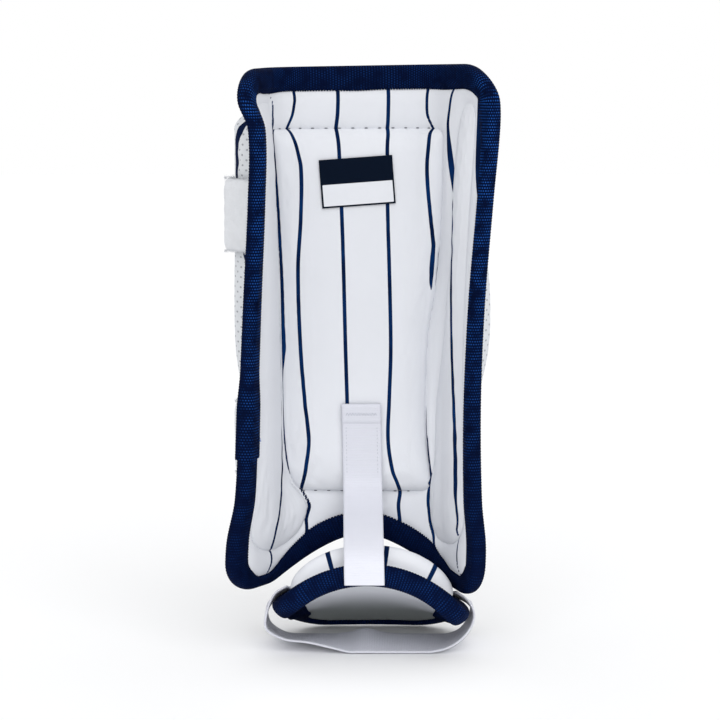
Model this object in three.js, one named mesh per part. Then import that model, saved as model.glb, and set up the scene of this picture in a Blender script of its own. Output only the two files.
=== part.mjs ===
import * as THREE from 'three';

// A batter's leg guard, standing as it is stored. Millimetres: X to the right seen from the leg side,
// Y towards the front of the shin, Z up from the floor.

const clearance = 0.5; // between pieces that are sewn face to face
const bendClearance = 1; // where both faces follow the bend

// Shin panel as cut: s runs across it along the cloth, z runs up it.
const shin = {
  halfSpan: 112, // from the middle line to a side edge, along the cloth
  flatHalf: 30, // half of the flat middle
  bendRadius: 32,
  backY: 40, // middle line in front of the leg
  pivotY: 10, // the section turns about this line as it rises
  halfThick: 2.6,
  bottomZ: 45.5,
  archRise: 29, // of the bottom edge over the instep
  archHalf: 76,
  topZ: 372,
  topSlope: 1.8, // rise of the top edge from the middle to the right edge
  bottomCorner: { left: 22, right: 22, tall: 17 },
  topCorner: { left: 28, right: 28, tall: 20 },
};

// Shin section at a few heights, in degrees: angles of the two wings, and turn of the section.
const shinRows = [
  { z: 46, left: 64, right: 68, turn: -5 },
  { z: 75, left: 65, right: 67.5, turn: -3.5 },
  { z: 105, left: 72.5, right: 72.5, turn: -2 },
  { z: 168, left: 75.5, right: 75.5, turn: 0 },
  { z: 231, left: 77, right: 74.5, turn: 3.5 },
  { z: 294, left: 78, right: 69, turn: 7.5 },
  { z: 337, left: 77.5, right: 63.5, turn: 8.5 },
  { z: 354, left: 69, right: 63.5, turn: 8 },
  { z: 372, left: 66.5, right: 68.5, turn: 7.5 },
];

const tape = { leg: 11.5, thick: 1.3, fold: 4.1, foldStart: 0.8, shoulderOut: 3.2, shoulderShare: 0.7 };

const centerPad = {
  bottomZ: 100.4,
  topZ: 336,
  rim: 1,
  crown: 10.5,
  bevel: 15,
  corner: { left: 8, right: 8, tall: 8 },
};

// Seams at the sides of the centre pad.
const centerPadRows = [
  { z: 100, left: -44.5, right: 48 },
  { z: 106, left: -46.5, right: 47.8 },
  { z: 116, left: -51, right: 47.5 },
  { z: 130, left: -53.6, right: 47.2 },
  { z: 148, left: -54.5, right: 47 },
  { z: 187, left: -54.5, right: 49 },
  { z: 236, left: -54.5, right: 55 },
  { z: 290, left: -57, right: 63 },
  { z: 336, left: -62, right: 65 },
];

const sidePad = {
  edgeMargin: 14,
  topZ: 353,
  rim: 0.8,
  crown: 5.5,
  bevel: 12,
  leftEnd: { z: 63.8, corner: { left: 29, right: 29, tall: 21 } }, // rounded lower ends
  rightEnd: { z: 68.8, corner: { left: 15, right: 35, tall: 28 } },
  topCorner: { left: 3, right: 3, tall: 8 },
};

// Inner seams of the two side pads.
const sidePadRows = [
  { z: 66, left: -39.5, right: 44 },
  { z: 80, left: -38.5, right: 45.5 },
  { z: 90, left: -36.8, right: 46.8 },
  { z: 98, left: -41, right: 47.2 },
  { z: 106, left: -48.5, right: 47.9 },
  { z: 122, left: -54.8, right: 51.4 },
  { z: 161, left: -55.8, right: 54 },
  { z: 205, left: -55.8, right: 63.5 },
  { z: 253, left: -56.6, right: 75.5 },
  { z: 290, left: -58.4, right: 77.2 },
  { z: 330, left: -62.9, right: 80.5 },
  { z: 353, left: -65.5, right: 86 },
];

const frontPad = {
  margin: 20, // inside the panel's edge
  rim: 1,
  bevel: 18,
  topZ: 356,
  bottomLift: 20,
  bottomCorner: { left: 30, right: 30, tall: 26 },
  topCorner: { left: 24, right: 24, tall: 20 },
};

const frontPadRows = [
  { z: 66, crown: 8 },
  { z: 140, crown: 9 },
  { z: 180, crown: 12 },
  { z: 220, crown: 15 },
  { z: 356, crown: 15.5 },
];

const legStrap = { thick: 2.2, leftEnd: -98, rightEnd: 70, lift: 0.7 };
const legStrapRows = [
  { name: 'upper_strap', lowZ: 260, highZ: 306 },
  { name: 'lower_strap', lowZ: 117, highZ: 163 },
];

const label = { wide: 47.5, tall: 31, thick: 0.6, s: 0.4, z: 302.4, tilt: 3.8 };

const instep = {
  middleX: 4.5,
  rearY: -25,
  frontY: 80,
  halfThick: 4.2,
  raiseMargin: 17, // bound edge, before the foam rises
  sideBevel: 36,
  endBevel: 14,
  corner: { left: 25, right: 25, tall: 25 },
};

// Instep arch from the ankle to the toe: height and radius of its crest, its two edges along the arch,
// and the rise of its foam.
const instepRows = [
  { y: -25, crestZ: 57.5, radius: 71, left: -64.5, right: 74.5, raise: 20 },
  { y: 0, crestZ: 48.6, radius: 90, left: -59.5, right: 65.5, raise: 20 },
  { y: 25, crestZ: 37.8, radius: 125, left: -55, right: 61, raise: 17 },
  { y: 51, crestZ: 25, radius: 210, left: -51, right: 57.5, raise: 12 },
  { y: 80, crestZ: 9.6, radius: 600, left: -47, right: 54, raise: 7 },
];

const ankleStrap = {
  wide: 25.4,
  thick: 2,
  topX: 0.7,
  bottomX: 2.8,
  topZ: 159,
  leaveZ: 112, // where it comes off the pad
  meetZ: 61, // where it meets the instep guard
  bottomZ: 51.5,
  ease: 20, // length over which it bends off
  freeSteps: 14,
};

const footStrap = {
  thick: 1.6,
  rearY: 0,
  frontY: 51,
  landing: [10.5, 2.5], // inside the edge of the instep guard
  lift: 2.9, // above the tape there
  steps: 44,
};

// Free run of the foot strap from left to right: heights of its rear and front edges.
const footStrapRows = [
  { x: -61, rearZ: 26, frontZ: 23 },
  { x: -61, rearZ: 16, frontZ: 10 },
  { x: -50, rearZ: 9, frontZ: 1.5 },
  { x: -33, rearZ: 6.4, frontZ: 0 },
  { x: -18, rearZ: 2.8, frontZ: 0 },
  { x: -6, rearZ: 0, frontZ: 1.5 },
  { x: 4, rearZ: 0, frontZ: 4 },
  { x: 14, rearZ: 0, frontZ: 1.5 },
  { x: 28, rearZ: 0, frontZ: 0 },
  { x: 45, rearZ: 0, frontZ: 0 },
  { x: 57, rearZ: 3, frontZ: 0 },
  { x: 67, rearZ: 10, frontZ: 4 },
  { x: 73, rearZ: 19, frontZ: 13 },
  { x: 74, rearZ: 27, frontZ: 23 },
];

const finishes = {
  lining: { color: 0xe6e9f0, roughness: 0.85, metalness: 0 },
  mesh: { color: 0xe2e5ea, roughness: 0.8, metalness: 0 },
  binding: { color: 0x0b1c4a, roughness: 0.75, metalness: 0 },
  elastic: { color: 0xeceef4, roughness: 0.8, metalness: 0 },
  loopPile: { color: 0xe8eaee, roughness: 0.95, metalness: 0 },
  label: { color: 0x14233d, roughness: 0.7, metalness: 0 },
};

const { lerp, clamp, degToRad, smoothstep } = THREE.MathUtils;
const materials = {};
for (const [name, finish] of Object.entries(finishes)) {
  materials[name] = new THREE.MeshStandardMaterial(finish);
}

// Smooth value of a table's column at a place along its key, held level past the table's ends.
function rowValue(rows, column, place, key = 'z') {
  const last = rows.length - 1;
  const at = clamp(place, rows[0][key], rows[last][key]);
  const next = clamp(rows.findIndex((row) => row[key] >= at), 1, last);
  const [a, b] = [rows[next - 1], rows[next]];
  const before = rows[Math.max(next - 2, 0)];
  const after = rows[Math.min(next + 1, last)];
  const span = b[key] - a[key];
  const t = (at - a[key]) / span;
  const slopeA = (span * (b[column] - before[column])) / (b[key] - before[key]);
  const slopeB = (span * (after[column] - a[column])) / (after[key] - a[key]);
  const rest = 1 - t;
  return (
    a[column] * (1 + 2 * t) * rest * rest +
    slopeA * t * rest * rest +
    b[column] * t * t * (3 - 2 * t) -
    slopeB * t * t * rest
  );
}

// Point of the bent shin wall: s across, z up, off towards the leg.
function shinPlace(s, z, off) {
  const wing = degToRad(rowValue(shinRows, s < 0 ? 'left' : 'right', z));
  const turn = degToRad(rowValue(shinRows, 'turn', z));
  const along = Math.abs(s);
  const bent = clamp((along - shin.flatHalf) / shin.bendRadius, 0, wing);
  const straight = Math.max(0, along - shin.flatHalf - shin.bendRadius * wing);
  const reach =
    Math.min(along, shin.flatHalf) +
    (shin.bendRadius - off) * Math.sin(bent) +
    straight * Math.cos(wing);
  const x = Math.sign(s) * reach;
  const y =
    shin.backY -
    shin.pivotY -
    shin.bendRadius +
    (shin.bendRadius - off) * Math.cos(bent) -
    straight * Math.sin(wing);
  return new THREE.Vector3(
    x * Math.cos(turn) - y * Math.sin(turn),
    shin.pivotY + x * Math.sin(turn) + y * Math.cos(turn),
    z,
  );
}

// Point of the instep arch: a along the arch from its crest, y to the front, off upwards.
function instepPlace(a, y, off) {
  const radius = rowValue(instepRows, 'radius', y, 'y');
  const angle = a / radius;
  const reach = radius + off;
  return new THREE.Vector3(
    instep.middleX + reach * Math.sin(angle),
    y,
    rowValue(instepRows, 'crestZ', y, 'y') - radius + reach * Math.cos(angle),
  );
}

// Rows of a rounded outline: share from the bottom edge to the top one, distances from both, insets.
function patternRows({ bottomCorner, topCorner, cornerSteps, middleSteps }) {
  const cornerRows = (corner) => {
    const rows = [];
    for (let step = 0; step <= cornerSteps; step += 1) {
      const angle = ((step / cornerSteps) * Math.PI) / 2;
      const inset = 1 - Math.sin(angle);
      const rise = corner.tall * (1 - Math.cos(angle));
      rows.push({ rise, left: corner.left * inset, right: corner.right * inset });
    }
    return rows;
  };
  const bottomRows = cornerRows(bottomCorner).map((row) => ({ ...row, share: 0, low: row.rise, high: 0 }));
  const topRows = cornerRows(topCorner).map((row) => ({ ...row, share: 1, low: 0, high: row.rise }));
  const middleRows = [];
  for (let step = 1; step < middleSteps; step += 1) {
    const share = step / middleSteps;
    middleRows.push({ share, low: bottomCorner.tall, high: topCorner.tall, left: 0, right: 0 });
  }
  return [...bottomRows, ...middleRows, ...topRows.reverse()];
}

// Grid of pattern points inside a rounded outline, each with its distance from the sides and the ends.
function patternGrid(shape) {
  const crowd = shape.crowd ?? 0; // how far the columns crowd towards the sides
  const cornerShare = 0.9; // most of a row's width that its two corners take
  const endZ = [shape.bottom(0), shape.top(0)];
  return patternRows(shape).map((row) => {
    const rowZ = lerp(endZ[0] + row.low, endZ[1] - row.high, row.share);
    const room = cornerShare * (shape.right(rowZ) - shape.left(rowZ));
    const squeeze = room / Math.max(room, row.left + row.right);
    const left = shape.left(rowZ) + row.left * squeeze;
    const right = shape.right(rowZ) - row.right * squeeze;
    const points = [];
    for (let column = 0; column <= shape.columns; column += 1) {
      const u = column / shape.columns;
      const s = lerp(left, right, u - (crowd * Math.sin(2 * Math.PI * u)) / (2 * Math.PI));
      const z = lerp(shape.bottom(s) + row.low, shape.top(s) - row.high, row.share);
      const side = Math.min(s - left, right - s);
      const end = Math.min(z - shape.bottom(s), shape.top(s) - z);
      points.push({ s, z, side, end });
    }
    return points;
  });
}

// Plain grid of pattern points between two sides and two ends.
function plainGrid({ columns, rows, left, right, bottom, top }) {
  const grid = [];
  for (let row = 0; row <= rows; row += 1) {
    const points = [];
    for (let column = 0; column <= columns; column += 1) {
      points.push({ s: lerp(left, right, column / columns), z: lerp(bottom, top, row / rows) });
    }
    grid.push(points);
  }
  return grid;
}

// Closed outline of a grid: bottom edge to the right, up, back along the top edge and down.
function gridOutline(grid) {
  const top = grid[grid.length - 1];
  const inner = grid.slice(1, -1);
  return [
    ...grid[0],
    ...inner.map((row) => row[row.length - 1]),
    ...[...top].reverse(),
    ...[...inner].reverse().map((row) => row[0]),
  ];
}

function solidGeometry(points, index) {
  let volume = 0;
  for (let i = 0; i < index.length; i += 3) {
    const [a, b, c] = [points[index[i]], points[index[i + 1]], points[index[i + 2]]];
    volume += a.dot(b.clone().cross(c));
  }
  const geometry = new THREE.BufferGeometry().setFromPoints(points);
  geometry.setIndex(volume > 0 ? index : index.reverse());
  geometry.computeVertexNormals();
  return geometry;
}

// Solid wall over a grid, between two distances from the surface.
function wallGeometry(grid, place, lowAt, highAt) {
  const rows = grid.length;
  const columns = grid[0].length;
  const points = [lowAt, highAt].flatMap((offAt) =>
    grid.flatMap((row) => row.map((point) => place(point.s, point.z, offAt(point)))),
  );
  const index = [];
  const quad = (a, b, c, d) => index.push(a, b, c, a, c, d);
  const low = (row, column) => row * columns + column;
  const high = (row, column) => rows * columns + low(row, column);
  const [lastRow, lastColumn] = [rows - 1, columns - 1];
  for (let row = 0; row < lastRow; row += 1) {
    for (let column = 0; column < lastColumn; column += 1) {
      quad(high(row, column), high(row, column + 1), high(row + 1, column + 1), high(row + 1, column));
      quad(low(row, column), low(row + 1, column), low(row + 1, column + 1), low(row, column + 1));
    }
  }
  for (let column = 0; column < lastColumn; column += 1) {
    const next = column + 1;
    quad(low(0, column), low(0, next), high(0, next), high(0, column));
    quad(low(lastRow, next), low(lastRow, column), high(lastRow, column), high(lastRow, next));
  }
  for (let row = 0; row < lastRow; row += 1) {
    const next = row + 1;
    quad(low(next, 0), low(row, 0), high(row, 0), high(next, 0));
    quad(low(row, lastColumn), low(next, lastColumn), high(next, lastColumn), high(row, lastColumn));
  }
  return solidGeometry(points, index);
}

// Folded tape round a closed outline; halfGap is half of the space between its two legs.
function tapeGeometry(outline, place, halfGap) {
  const outer = halfGap + tape.thick;
  const face = [
    { out: -tape.leg, off: outer },
    { out: tape.foldStart, off: outer },
    { out: tape.shoulderOut, off: outer * tape.shoulderShare },
  ];
  const section = [
    ...face,
    { out: tape.fold, off: 0 },
    ...[...face].reverse().map(({ out, off }) => ({ out, off: -off })),
    { out: -tape.leg, off: -halfGap },
    { out: clearance, off: -halfGap },
    { out: clearance, off: halfGap },
    { out: -tape.leg, off: halfGap },
  ];
  const count = outline.length;
  const points = outline.flatMap((point, i) => {
    const before = outline[(i + count - 1) % count];
    const after = outline[(i + 1) % count];
    const run = Math.hypot(after.s - before.s, after.z - before.z);
    const outS = (after.z - before.z) / run;
    const outZ = (before.s - after.s) / run;
    return section.map(({ out, off }) => place(point.s + out * outS, point.z + out * outZ, off));
  });
  const sides = section.length;
  const index = [];
  for (let i = 0; i < count; i += 1) {
    const next = (i + 1) % count;
    for (let k = 0; k < sides; k += 1) {
      const turn = (k + 1) % sides;
      const [a, b] = [i * sides + k, next * sides + k];
      const [c, d] = [next * sides + turn, i * sides + turn];
      index.push(a, b, c, a, c, d);
    }
  }
  return solidGeometry(points, index);
}

// Share of a pad's height at a distance inside its edge, along a quarter of a circle.
function roundOff(distance, bevel) {
  const left = 1 - clamp(distance / bevel, 0, 1);
  return Math.sqrt(1 - left * left);
}

// Height of a pad's face above its base: rounded at the sides and ends.
function padHeight(pad, { side, end }) {
  return pad.rim + (pad.crown - pad.rim) * roundOff(side, pad.bevel) * roundOff(end, pad.bevel);
}

function bottomEdge(s) {
  const share = Math.min(1, Math.abs(s) / shin.archHalf);
  return shin.bottomZ + (shin.archRise * (1 + Math.cos(Math.PI * share))) / 2;
}

function topEdge(s) {
  return shin.topZ + (shin.topSlope * s) / shin.halfSpan;
}

const shinGrid = patternGrid({
  columns: 28,
  cornerSteps: 4,
  middleSteps: 9,
  bottomCorner: shin.bottomCorner,
  topCorner: shin.topCorner,
  bottom: bottomEdge,
  top: topEdge,
  left: () => -shin.halfSpan,
  right: () => shin.halfSpan,
});

function shinPanel() {
  return wallGeometry(shinGrid, shinPlace, () => -shin.halfThick, () => shin.halfThick);
}

function shinBinding() {
  return tapeGeometry(gridOutline(shinGrid), shinPlace, shin.halfThick + bendClearance);
}

const padBase = shin.halfThick + clearance;

// Distance of the centre pad's face from the middle of the panel, at any point of its pattern.
function centerFace(point) {
  return padBase + padHeight(centerPad, point);
}

function centerPadGeometry() {
  const grid = patternGrid({
    columns: 14,
    crowd: 0.6,
    cornerSteps: 4,
    middleSteps: 9,
    bottomCorner: centerPad.corner,
    topCorner: centerPad.corner,
    bottom: () => centerPad.bottomZ,
    top: () => centerPad.topZ,
    left: (z) => rowValue(centerPadRows, 'left', z),
    right: (z) => rowValue(centerPadRows, 'right', z),
  });
  return wallGeometry(grid, shinPlace, () => padBase, centerFace);
}

// A side pad fills a wing from the centre pad's seam to the binding.
function sidePadGeometry(side) {
  const isLeft = side === 'left';
  const inner = (z) => rowValue(sidePadRows, side, z);
  const edge = shin.halfSpan - sidePad.edgeMargin;
  const lowEnd = isLeft ? sidePad.leftEnd : sidePad.rightEnd;
  const grid = patternGrid({
    columns: 8,
    crowd: 0.5,
    cornerSteps: 4,
    middleSteps: 11,
    bottomCorner: lowEnd.corner,
    topCorner: sidePad.topCorner,
    bottom: () => lowEnd.z,
    top: () => sidePad.topZ,
    left: isLeft ? () => -edge : inner,
    right: isLeft ? inner : () => edge,
  });
  const base = shin.halfThick + bendClearance;
  return wallGeometry(grid, shinPlace, () => base, (point) => base + padHeight(sidePad, point));
}

const frontBase = shin.halfThick + bendClearance + clearance;
const frontHalf = shin.halfSpan - frontPad.margin;

function frontPadGeometry() {
  const grid = patternGrid({
    columns: 28,
    crowd: 0.35,
    cornerSteps: 4,
    middleSteps: 6,
    bottomCorner: frontPad.bottomCorner,
    topCorner: frontPad.topCorner,
    bottom: (s) => bottomEdge(s) + frontPad.bottomLift,
    top: () => frontPad.topZ,
    left: () => -frontHalf,
    right: () => frontHalf,
  });
  const slope = (distance) => smoothstep(distance, 0, frontPad.bevel);
  const face = ({ z, side, end }) => {
    const rise = rowValue(frontPadRows, 'crown', z) - frontPad.rim;
    return -frontBase - frontPad.rim - rise * slope(side) * slope(end);
  };
  return wallGeometry(grid, shinPlace, () => -frontBase, face);
}

// A strap lies on the wings and rises over the front pad.
function legStrapGeometry({ lowZ, highZ }) {
  const { leftEnd: left, rightEnd: right } = legStrap;
  const grid = plainGrid({ columns: 32, rows: 1, left, right, bottom: lowZ, top: highZ });
  const under = ({ s }) => {
    const onPad = smoothstep(s - left, 0, frontPad.bevel);
    return -frontBase - legStrap.lift - rowValue(frontPadRows, 'crown', highZ) * onPad;
  };
  return wallGeometry(grid, shinPlace, under, (point) => under(point) - legStrap.thick);
}

// The label lies flat on the crown of the centre pad.
function nameLabel() {
  const tilt = degToRad(label.tilt);
  const half = { wide: label.wide / 2, tall: label.tall / 2 };
  const grid = plainGrid({
    columns: 4,
    rows: 2,
    left: -half.wide,
    right: half.wide,
    bottom: -half.tall,
    top: half.tall,
  });
  const place = (across, up, off) => {
    const s = label.s + across * Math.cos(tilt) - up * Math.sin(tilt);
    const z = label.z + across * Math.sin(tilt) + up * Math.cos(tilt);
    return shinPlace(s, z, off);
  };
  const face = padBase + centerPad.crown + clearance;
  return wallGeometry(grid, place, () => face, () => face + label.thick);
}

const instepGrid = patternGrid({
  columns: 18,
  cornerSteps: 3,
  middleSteps: 5,
  bottomCorner: instep.corner,
  topCorner: instep.corner,
  bottom: () => instep.rearY,
  top: () => instep.frontY,
  left: (y) => rowValue(instepRows, 'left', y, 'y'),
  right: (y) => rowValue(instepRows, 'right', y, 'y'),
});

function instepPad() {
  const { halfThick, raiseMargin, sideBevel, endBevel } = instep;
  const face = ({ z, side, end }) => {
    const share = roundOff(side - raiseMargin, sideBevel) * roundOff(end - raiseMargin, endBevel);
    return halfThick + rowValue(instepRows, 'raise', z, 'y') * share;
  };
  return wallGeometry(instepGrid, instepPlace, () => -halfThick, face);
}

function instepBinding() {
  return tapeGeometry(gridOutline(instepGrid), instepPlace, instep.halfThick + bendClearance);
}

// Thin ribbon between two edges that run side by side, each a list of points on its outer face.
function ribbonGeometry(near, far, thick) {
  const last = near.length - 1;
  const grid = plainGrid({ columns: 2, rows: last, left: 0, right: 1, bottom: 0, top: last });
  const place = (s, z, off) => {
    const row = Math.round(z);
    const [before, after] = [Math.max(row - 1, 0), Math.min(row + 1, last)];
    const run = near[after].clone().sub(near[before]).lerp(far[after].clone().sub(far[before]), s);
    const across = far[row].clone().sub(near[row]);
    const normal = across.clone().cross(run).normalize();
    return near[row].clone().addScaledVector(across, s).addScaledVector(normal, off);
  };
  return wallGeometry(grid, place, () => -thick, () => 0);
}

// The ankle strap lies on the centre pad, then hangs free to the rear edge of the instep guard.
function ankleStrapGeometry() {
  const { wide, thick, topZ, leaveZ, meetZ, bottomZ, ease, freeSteps } = ankleStrap;
  const face = padBase + centerPad.crown + clearance + thick;
  const rearY = instep.rearY - tape.fold - clearance - thick;
  const edge = (side) => {
    const middle = (z) => lerp(ankleStrap.bottomX, ankleStrap.topX, (z - bottomZ) / (topZ - bottomZ));
    const x = (z) => middle(z) + (side * wide) / 2;
    const onPad = (z) => new THREE.Vector3(x(z), shinPlace(x(z), z, face).y, z);
    const atInstep = (z) => new THREE.Vector3(x(z), rearY, z);
    const leave = onPad(leaveZ);
    const free = new THREE.CubicBezierCurve3(
      leave,
      leave.clone().setZ(leaveZ - ease),
      atInstep(meetZ + ease),
      atInstep(meetZ),
    );
    return [onPad(topZ), onPad((topZ + leaveZ) / 2), ...free.getPoints(freeSteps), atInstep(bottomZ)];
  };
  return ribbonGeometry(edge(1), edge(-1), thick);
}

// The foot strap leaves the outside of the instep guard, runs along the floor and comes back up.
function footStrapGeometry() {
  const onTape = instep.halfThick + bendClearance + tape.thick + footStrap.lift + footStrap.thick;
  const edge = (y, column) => {
    const [left, right] = ['left', 'right'].map((name) => rowValue(instepRows, name, y, 'y'));
    const free = footStrapRows.map((row) => new THREE.Vector3(row.x, y, row[column]));
    const path = new THREE.CatmullRomCurve3([
      ...footStrap.landing.map((inside) => instepPlace(left + inside, y, onTape)),
      ...free,
      ...[...footStrap.landing].reverse().map((inside) => instepPlace(right - inside, y, onTape)),
    ]);
    return path.getPoints(footStrap.steps).map((point) => point.setZ(Math.max(point.z, 0)));
  };
  const rear = edge(footStrap.rearY, 'rearZ');
  const front = edge(footStrap.frontY, 'frontZ');
  return ribbonGeometry(rear, front, footStrap.thick);
}

const guard = new THREE.Group();

function addPiece(name, geometry, material) {
  const piece = new THREE.Mesh(geometry, material);
  piece.name = name;
  guard.add(piece);
}

addPiece('shin_panel', shinPanel(), materials.lining);
addPiece('shin_binding', shinBinding(), materials.binding);
addPiece('center_pad', centerPadGeometry(), materials.lining);
addPiece('side_pad_left', sidePadGeometry('left'), materials.lining);
addPiece('side_pad_right', sidePadGeometry('right'), materials.lining);
addPiece('front_pad', frontPadGeometry(), materials.mesh);
for (const row of legStrapRows) {
  addPiece(row.name, legStrapGeometry(row), materials.loopPile);
}
addPiece('name_label', nameLabel(), materials.label);
addPiece('ankle_strap', ankleStrapGeometry(), materials.elastic);
addPiece('instep_pad', instepPad(), materials.lining);
addPiece('instep_binding', instepBinding(), materials.binding);
addPiece('foot_strap', footStrapGeometry(), materials.elastic);

// The origin is the middle of the footprint, on the floor.
const extent = new THREE.Box3().setFromObject(guard);
const middle = extent.getCenter(new THREE.Vector3());
guard.position.set(-middle.x, -middle.y, -extent.min.z);

const part = new THREE.Group();
part.add(guard);

export default part;
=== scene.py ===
import math
import bpy
import numpy as np
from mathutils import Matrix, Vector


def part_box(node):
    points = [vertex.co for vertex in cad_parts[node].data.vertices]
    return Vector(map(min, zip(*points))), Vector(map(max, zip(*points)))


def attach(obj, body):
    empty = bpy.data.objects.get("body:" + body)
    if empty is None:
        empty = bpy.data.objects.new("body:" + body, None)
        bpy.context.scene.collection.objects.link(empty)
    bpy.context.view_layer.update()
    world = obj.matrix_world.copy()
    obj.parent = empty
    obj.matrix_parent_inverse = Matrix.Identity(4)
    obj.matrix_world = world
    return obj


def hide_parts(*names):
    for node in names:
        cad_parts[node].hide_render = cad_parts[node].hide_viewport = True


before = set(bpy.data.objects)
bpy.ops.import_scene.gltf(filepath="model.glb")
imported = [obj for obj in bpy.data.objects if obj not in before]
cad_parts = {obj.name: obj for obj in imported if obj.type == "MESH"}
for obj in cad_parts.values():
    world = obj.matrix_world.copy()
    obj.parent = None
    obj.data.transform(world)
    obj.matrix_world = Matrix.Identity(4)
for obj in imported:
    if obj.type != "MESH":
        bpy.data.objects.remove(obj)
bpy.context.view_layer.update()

mm = 0.001
gap = 0.5  # sewing gap between layers, mm
print("frame loaded:", len(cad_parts), "nodes")

# the cut of the shin wall: s runs across, z up, off towards the leg, all in mm
shin = {
    "halfSpan": 112, "flatHalf": 30, "bendRadius": 32, "backY": 40, "pivotY": 10, "halfThick": 2.6,
    "bottomZ": 45.5, "archRise": 29, "archHalf": 76, "topZ": 372, "topSlope": 1.8,
    "bottomCorner": (22, 22, 17), "topCorner": (28, 28, 20),
    "rows": {
        "z": [46, 75, 105, 168, 231, 294, 337, 354, 372],
        "left": [64, 65, 72.5, 75.5, 77, 78, 77.5, 69, 66.5],
        "right": [68, 67.5, 72.5, 75.5, 74.5, 69, 63.5, 63.5, 68.5],
        "turn": [-5, -3.5, -2, 0, 3.5, 7.5, 8.5, 8, 7.5],
    },
}

# the cut of the instep arch: a runs along the arch, y to the front, off upwards
instep = {
    "middleX": 4.5, "rearY": -25, "frontY": 80, "halfThick": 4.2, "corner": (25, 25, 25), "slack": 1.3,
    "raiseMargin": 11.5, "sideBevel": (44, 38), "bevelY": (-12, 25), "endBevel": 9, "lump": 0.3,
    # the last pair below is where the painted shade on the underside starts and ends, in mm from the rear
    # edge
    "tuckShare": 0.08, "tuckPitch": 7.5, "tuckReach": 3, "hem": 17, "underShade": (40, 85),
    "rows": {
        "y": [-25, 0, 25, 51, 80],
        "crestZ": [57.5, 48.6, 37.8, 24.0, 7.35],
        "radius": [71, 90, 125, 210, 900],
        "left": [-64.5, -59.5, -55, -51, -47],
        "right": [74.5, 65.5, 61, 57.5, 54],
        "raise": [18.8, 18.8, 16.5, 12, 7],
    },
}


def smoothRows(rows, column, place, key="z"):  # value of a table's column, held level past its ends
    at = np.array(rows[key], float)
    value = np.array(rows[column], float)
    place = np.clip(place, at[0], at[-1])
    after = np.clip(np.searchsorted(at, place), 1, len(at) - 1)
    before = after - 1
    first = np.maximum(before - 1, 0)
    last = np.minimum(after + 1, len(at) - 1)
    span = at[after] - at[before]
    t = (place - at[before]) / span
    rest = 1 - t
    slopeIn = span * (value[after] - value[first]) / (at[after] - at[first])
    slopeOut = span * (value[last] - value[before]) / (at[last] - at[before])
    near = value[before] * (1 + 2 * t) * rest**2 + slopeIn * t * rest**2
    return near + value[after] * t**2 * (3 - 2 * t) - slopeOut * t**2 * rest


def instepRow(column):
    return lambda y: smoothRows(instep["rows"], column, y, "y")


def mix(low, high, share):
    return low + (high - low) * share


def easeIn(value, low, high):  # smooth step from 0 to 1
    t = np.clip((value - low) / (high - low), 0, 1)
    return t * t * (3 - 2 * t)


# the frame's origin is the middle of the footprint, so the patterns move there with two of its pieces
ankleLeft = -12  # left side of the ankle strap in the pattern's own place
guardShift = np.array([
    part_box("ankle_strap")[0][0] / mm - ankleLeft,
    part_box("instep_pad")[0][1] / mm - instep["rearY"],
    0,
])


def shinPlace(s, z, off):
    s, z, off = np.broadcast_arrays(np.asarray(s, float), z, off)
    radius = shin["bendRadius"]
    side = np.where(s < 0, smoothRows(shin["rows"], "left", z), smoothRows(shin["rows"], "right", z))
    wing = np.radians(side)
    turn = np.radians(smoothRows(shin["rows"], "turn", z))
    along = np.abs(s)
    bent = np.clip((along - shin["flatHalf"]) / radius, 0, wing)
    straight = np.maximum(0, along - shin["flatHalf"] - radius * wing)
    reach = np.minimum(along, shin["flatHalf"]) + (radius - off) * np.sin(bent) + straight * np.cos(wing)
    x = np.sign(s) * reach
    y = shin["backY"] - shin["pivotY"] - radius + (radius - off) * np.cos(bent) - straight * np.sin(wing)
    turned = [x * np.cos(turn) - y * np.sin(turn), shin["pivotY"] + x * np.sin(turn) + y * np.cos(turn), z]
    return (np.stack(turned, axis=-1) + guardShift) * mm


def instepPlace(a, y, off):
    a, y, off = np.broadcast_arrays(np.asarray(a, float), y, off)
    radius = instepRow("radius")(y)
    reach = radius + off
    x = instep["middleX"] + reach * np.sin(a / radius)
    z = instepRow("crestZ")(y) - radius + reach * np.cos(a / radius)
    return (np.stack([x, y, z], axis=-1) + guardShift) * mm


def bottomEdge(s):
    share = np.minimum(1, np.abs(s) / shin["archHalf"])
    return shin["bottomZ"] + shin["archRise"] * (0.5 + 0.5 * np.cos(math.pi * share))


def topEdge(s):
    return shin["topZ"] + shin["topSlope"] * np.asarray(s, float) / shin["halfSpan"]


def level(value):
    return lambda at: np.full(np.shape(at), float(value))


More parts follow.
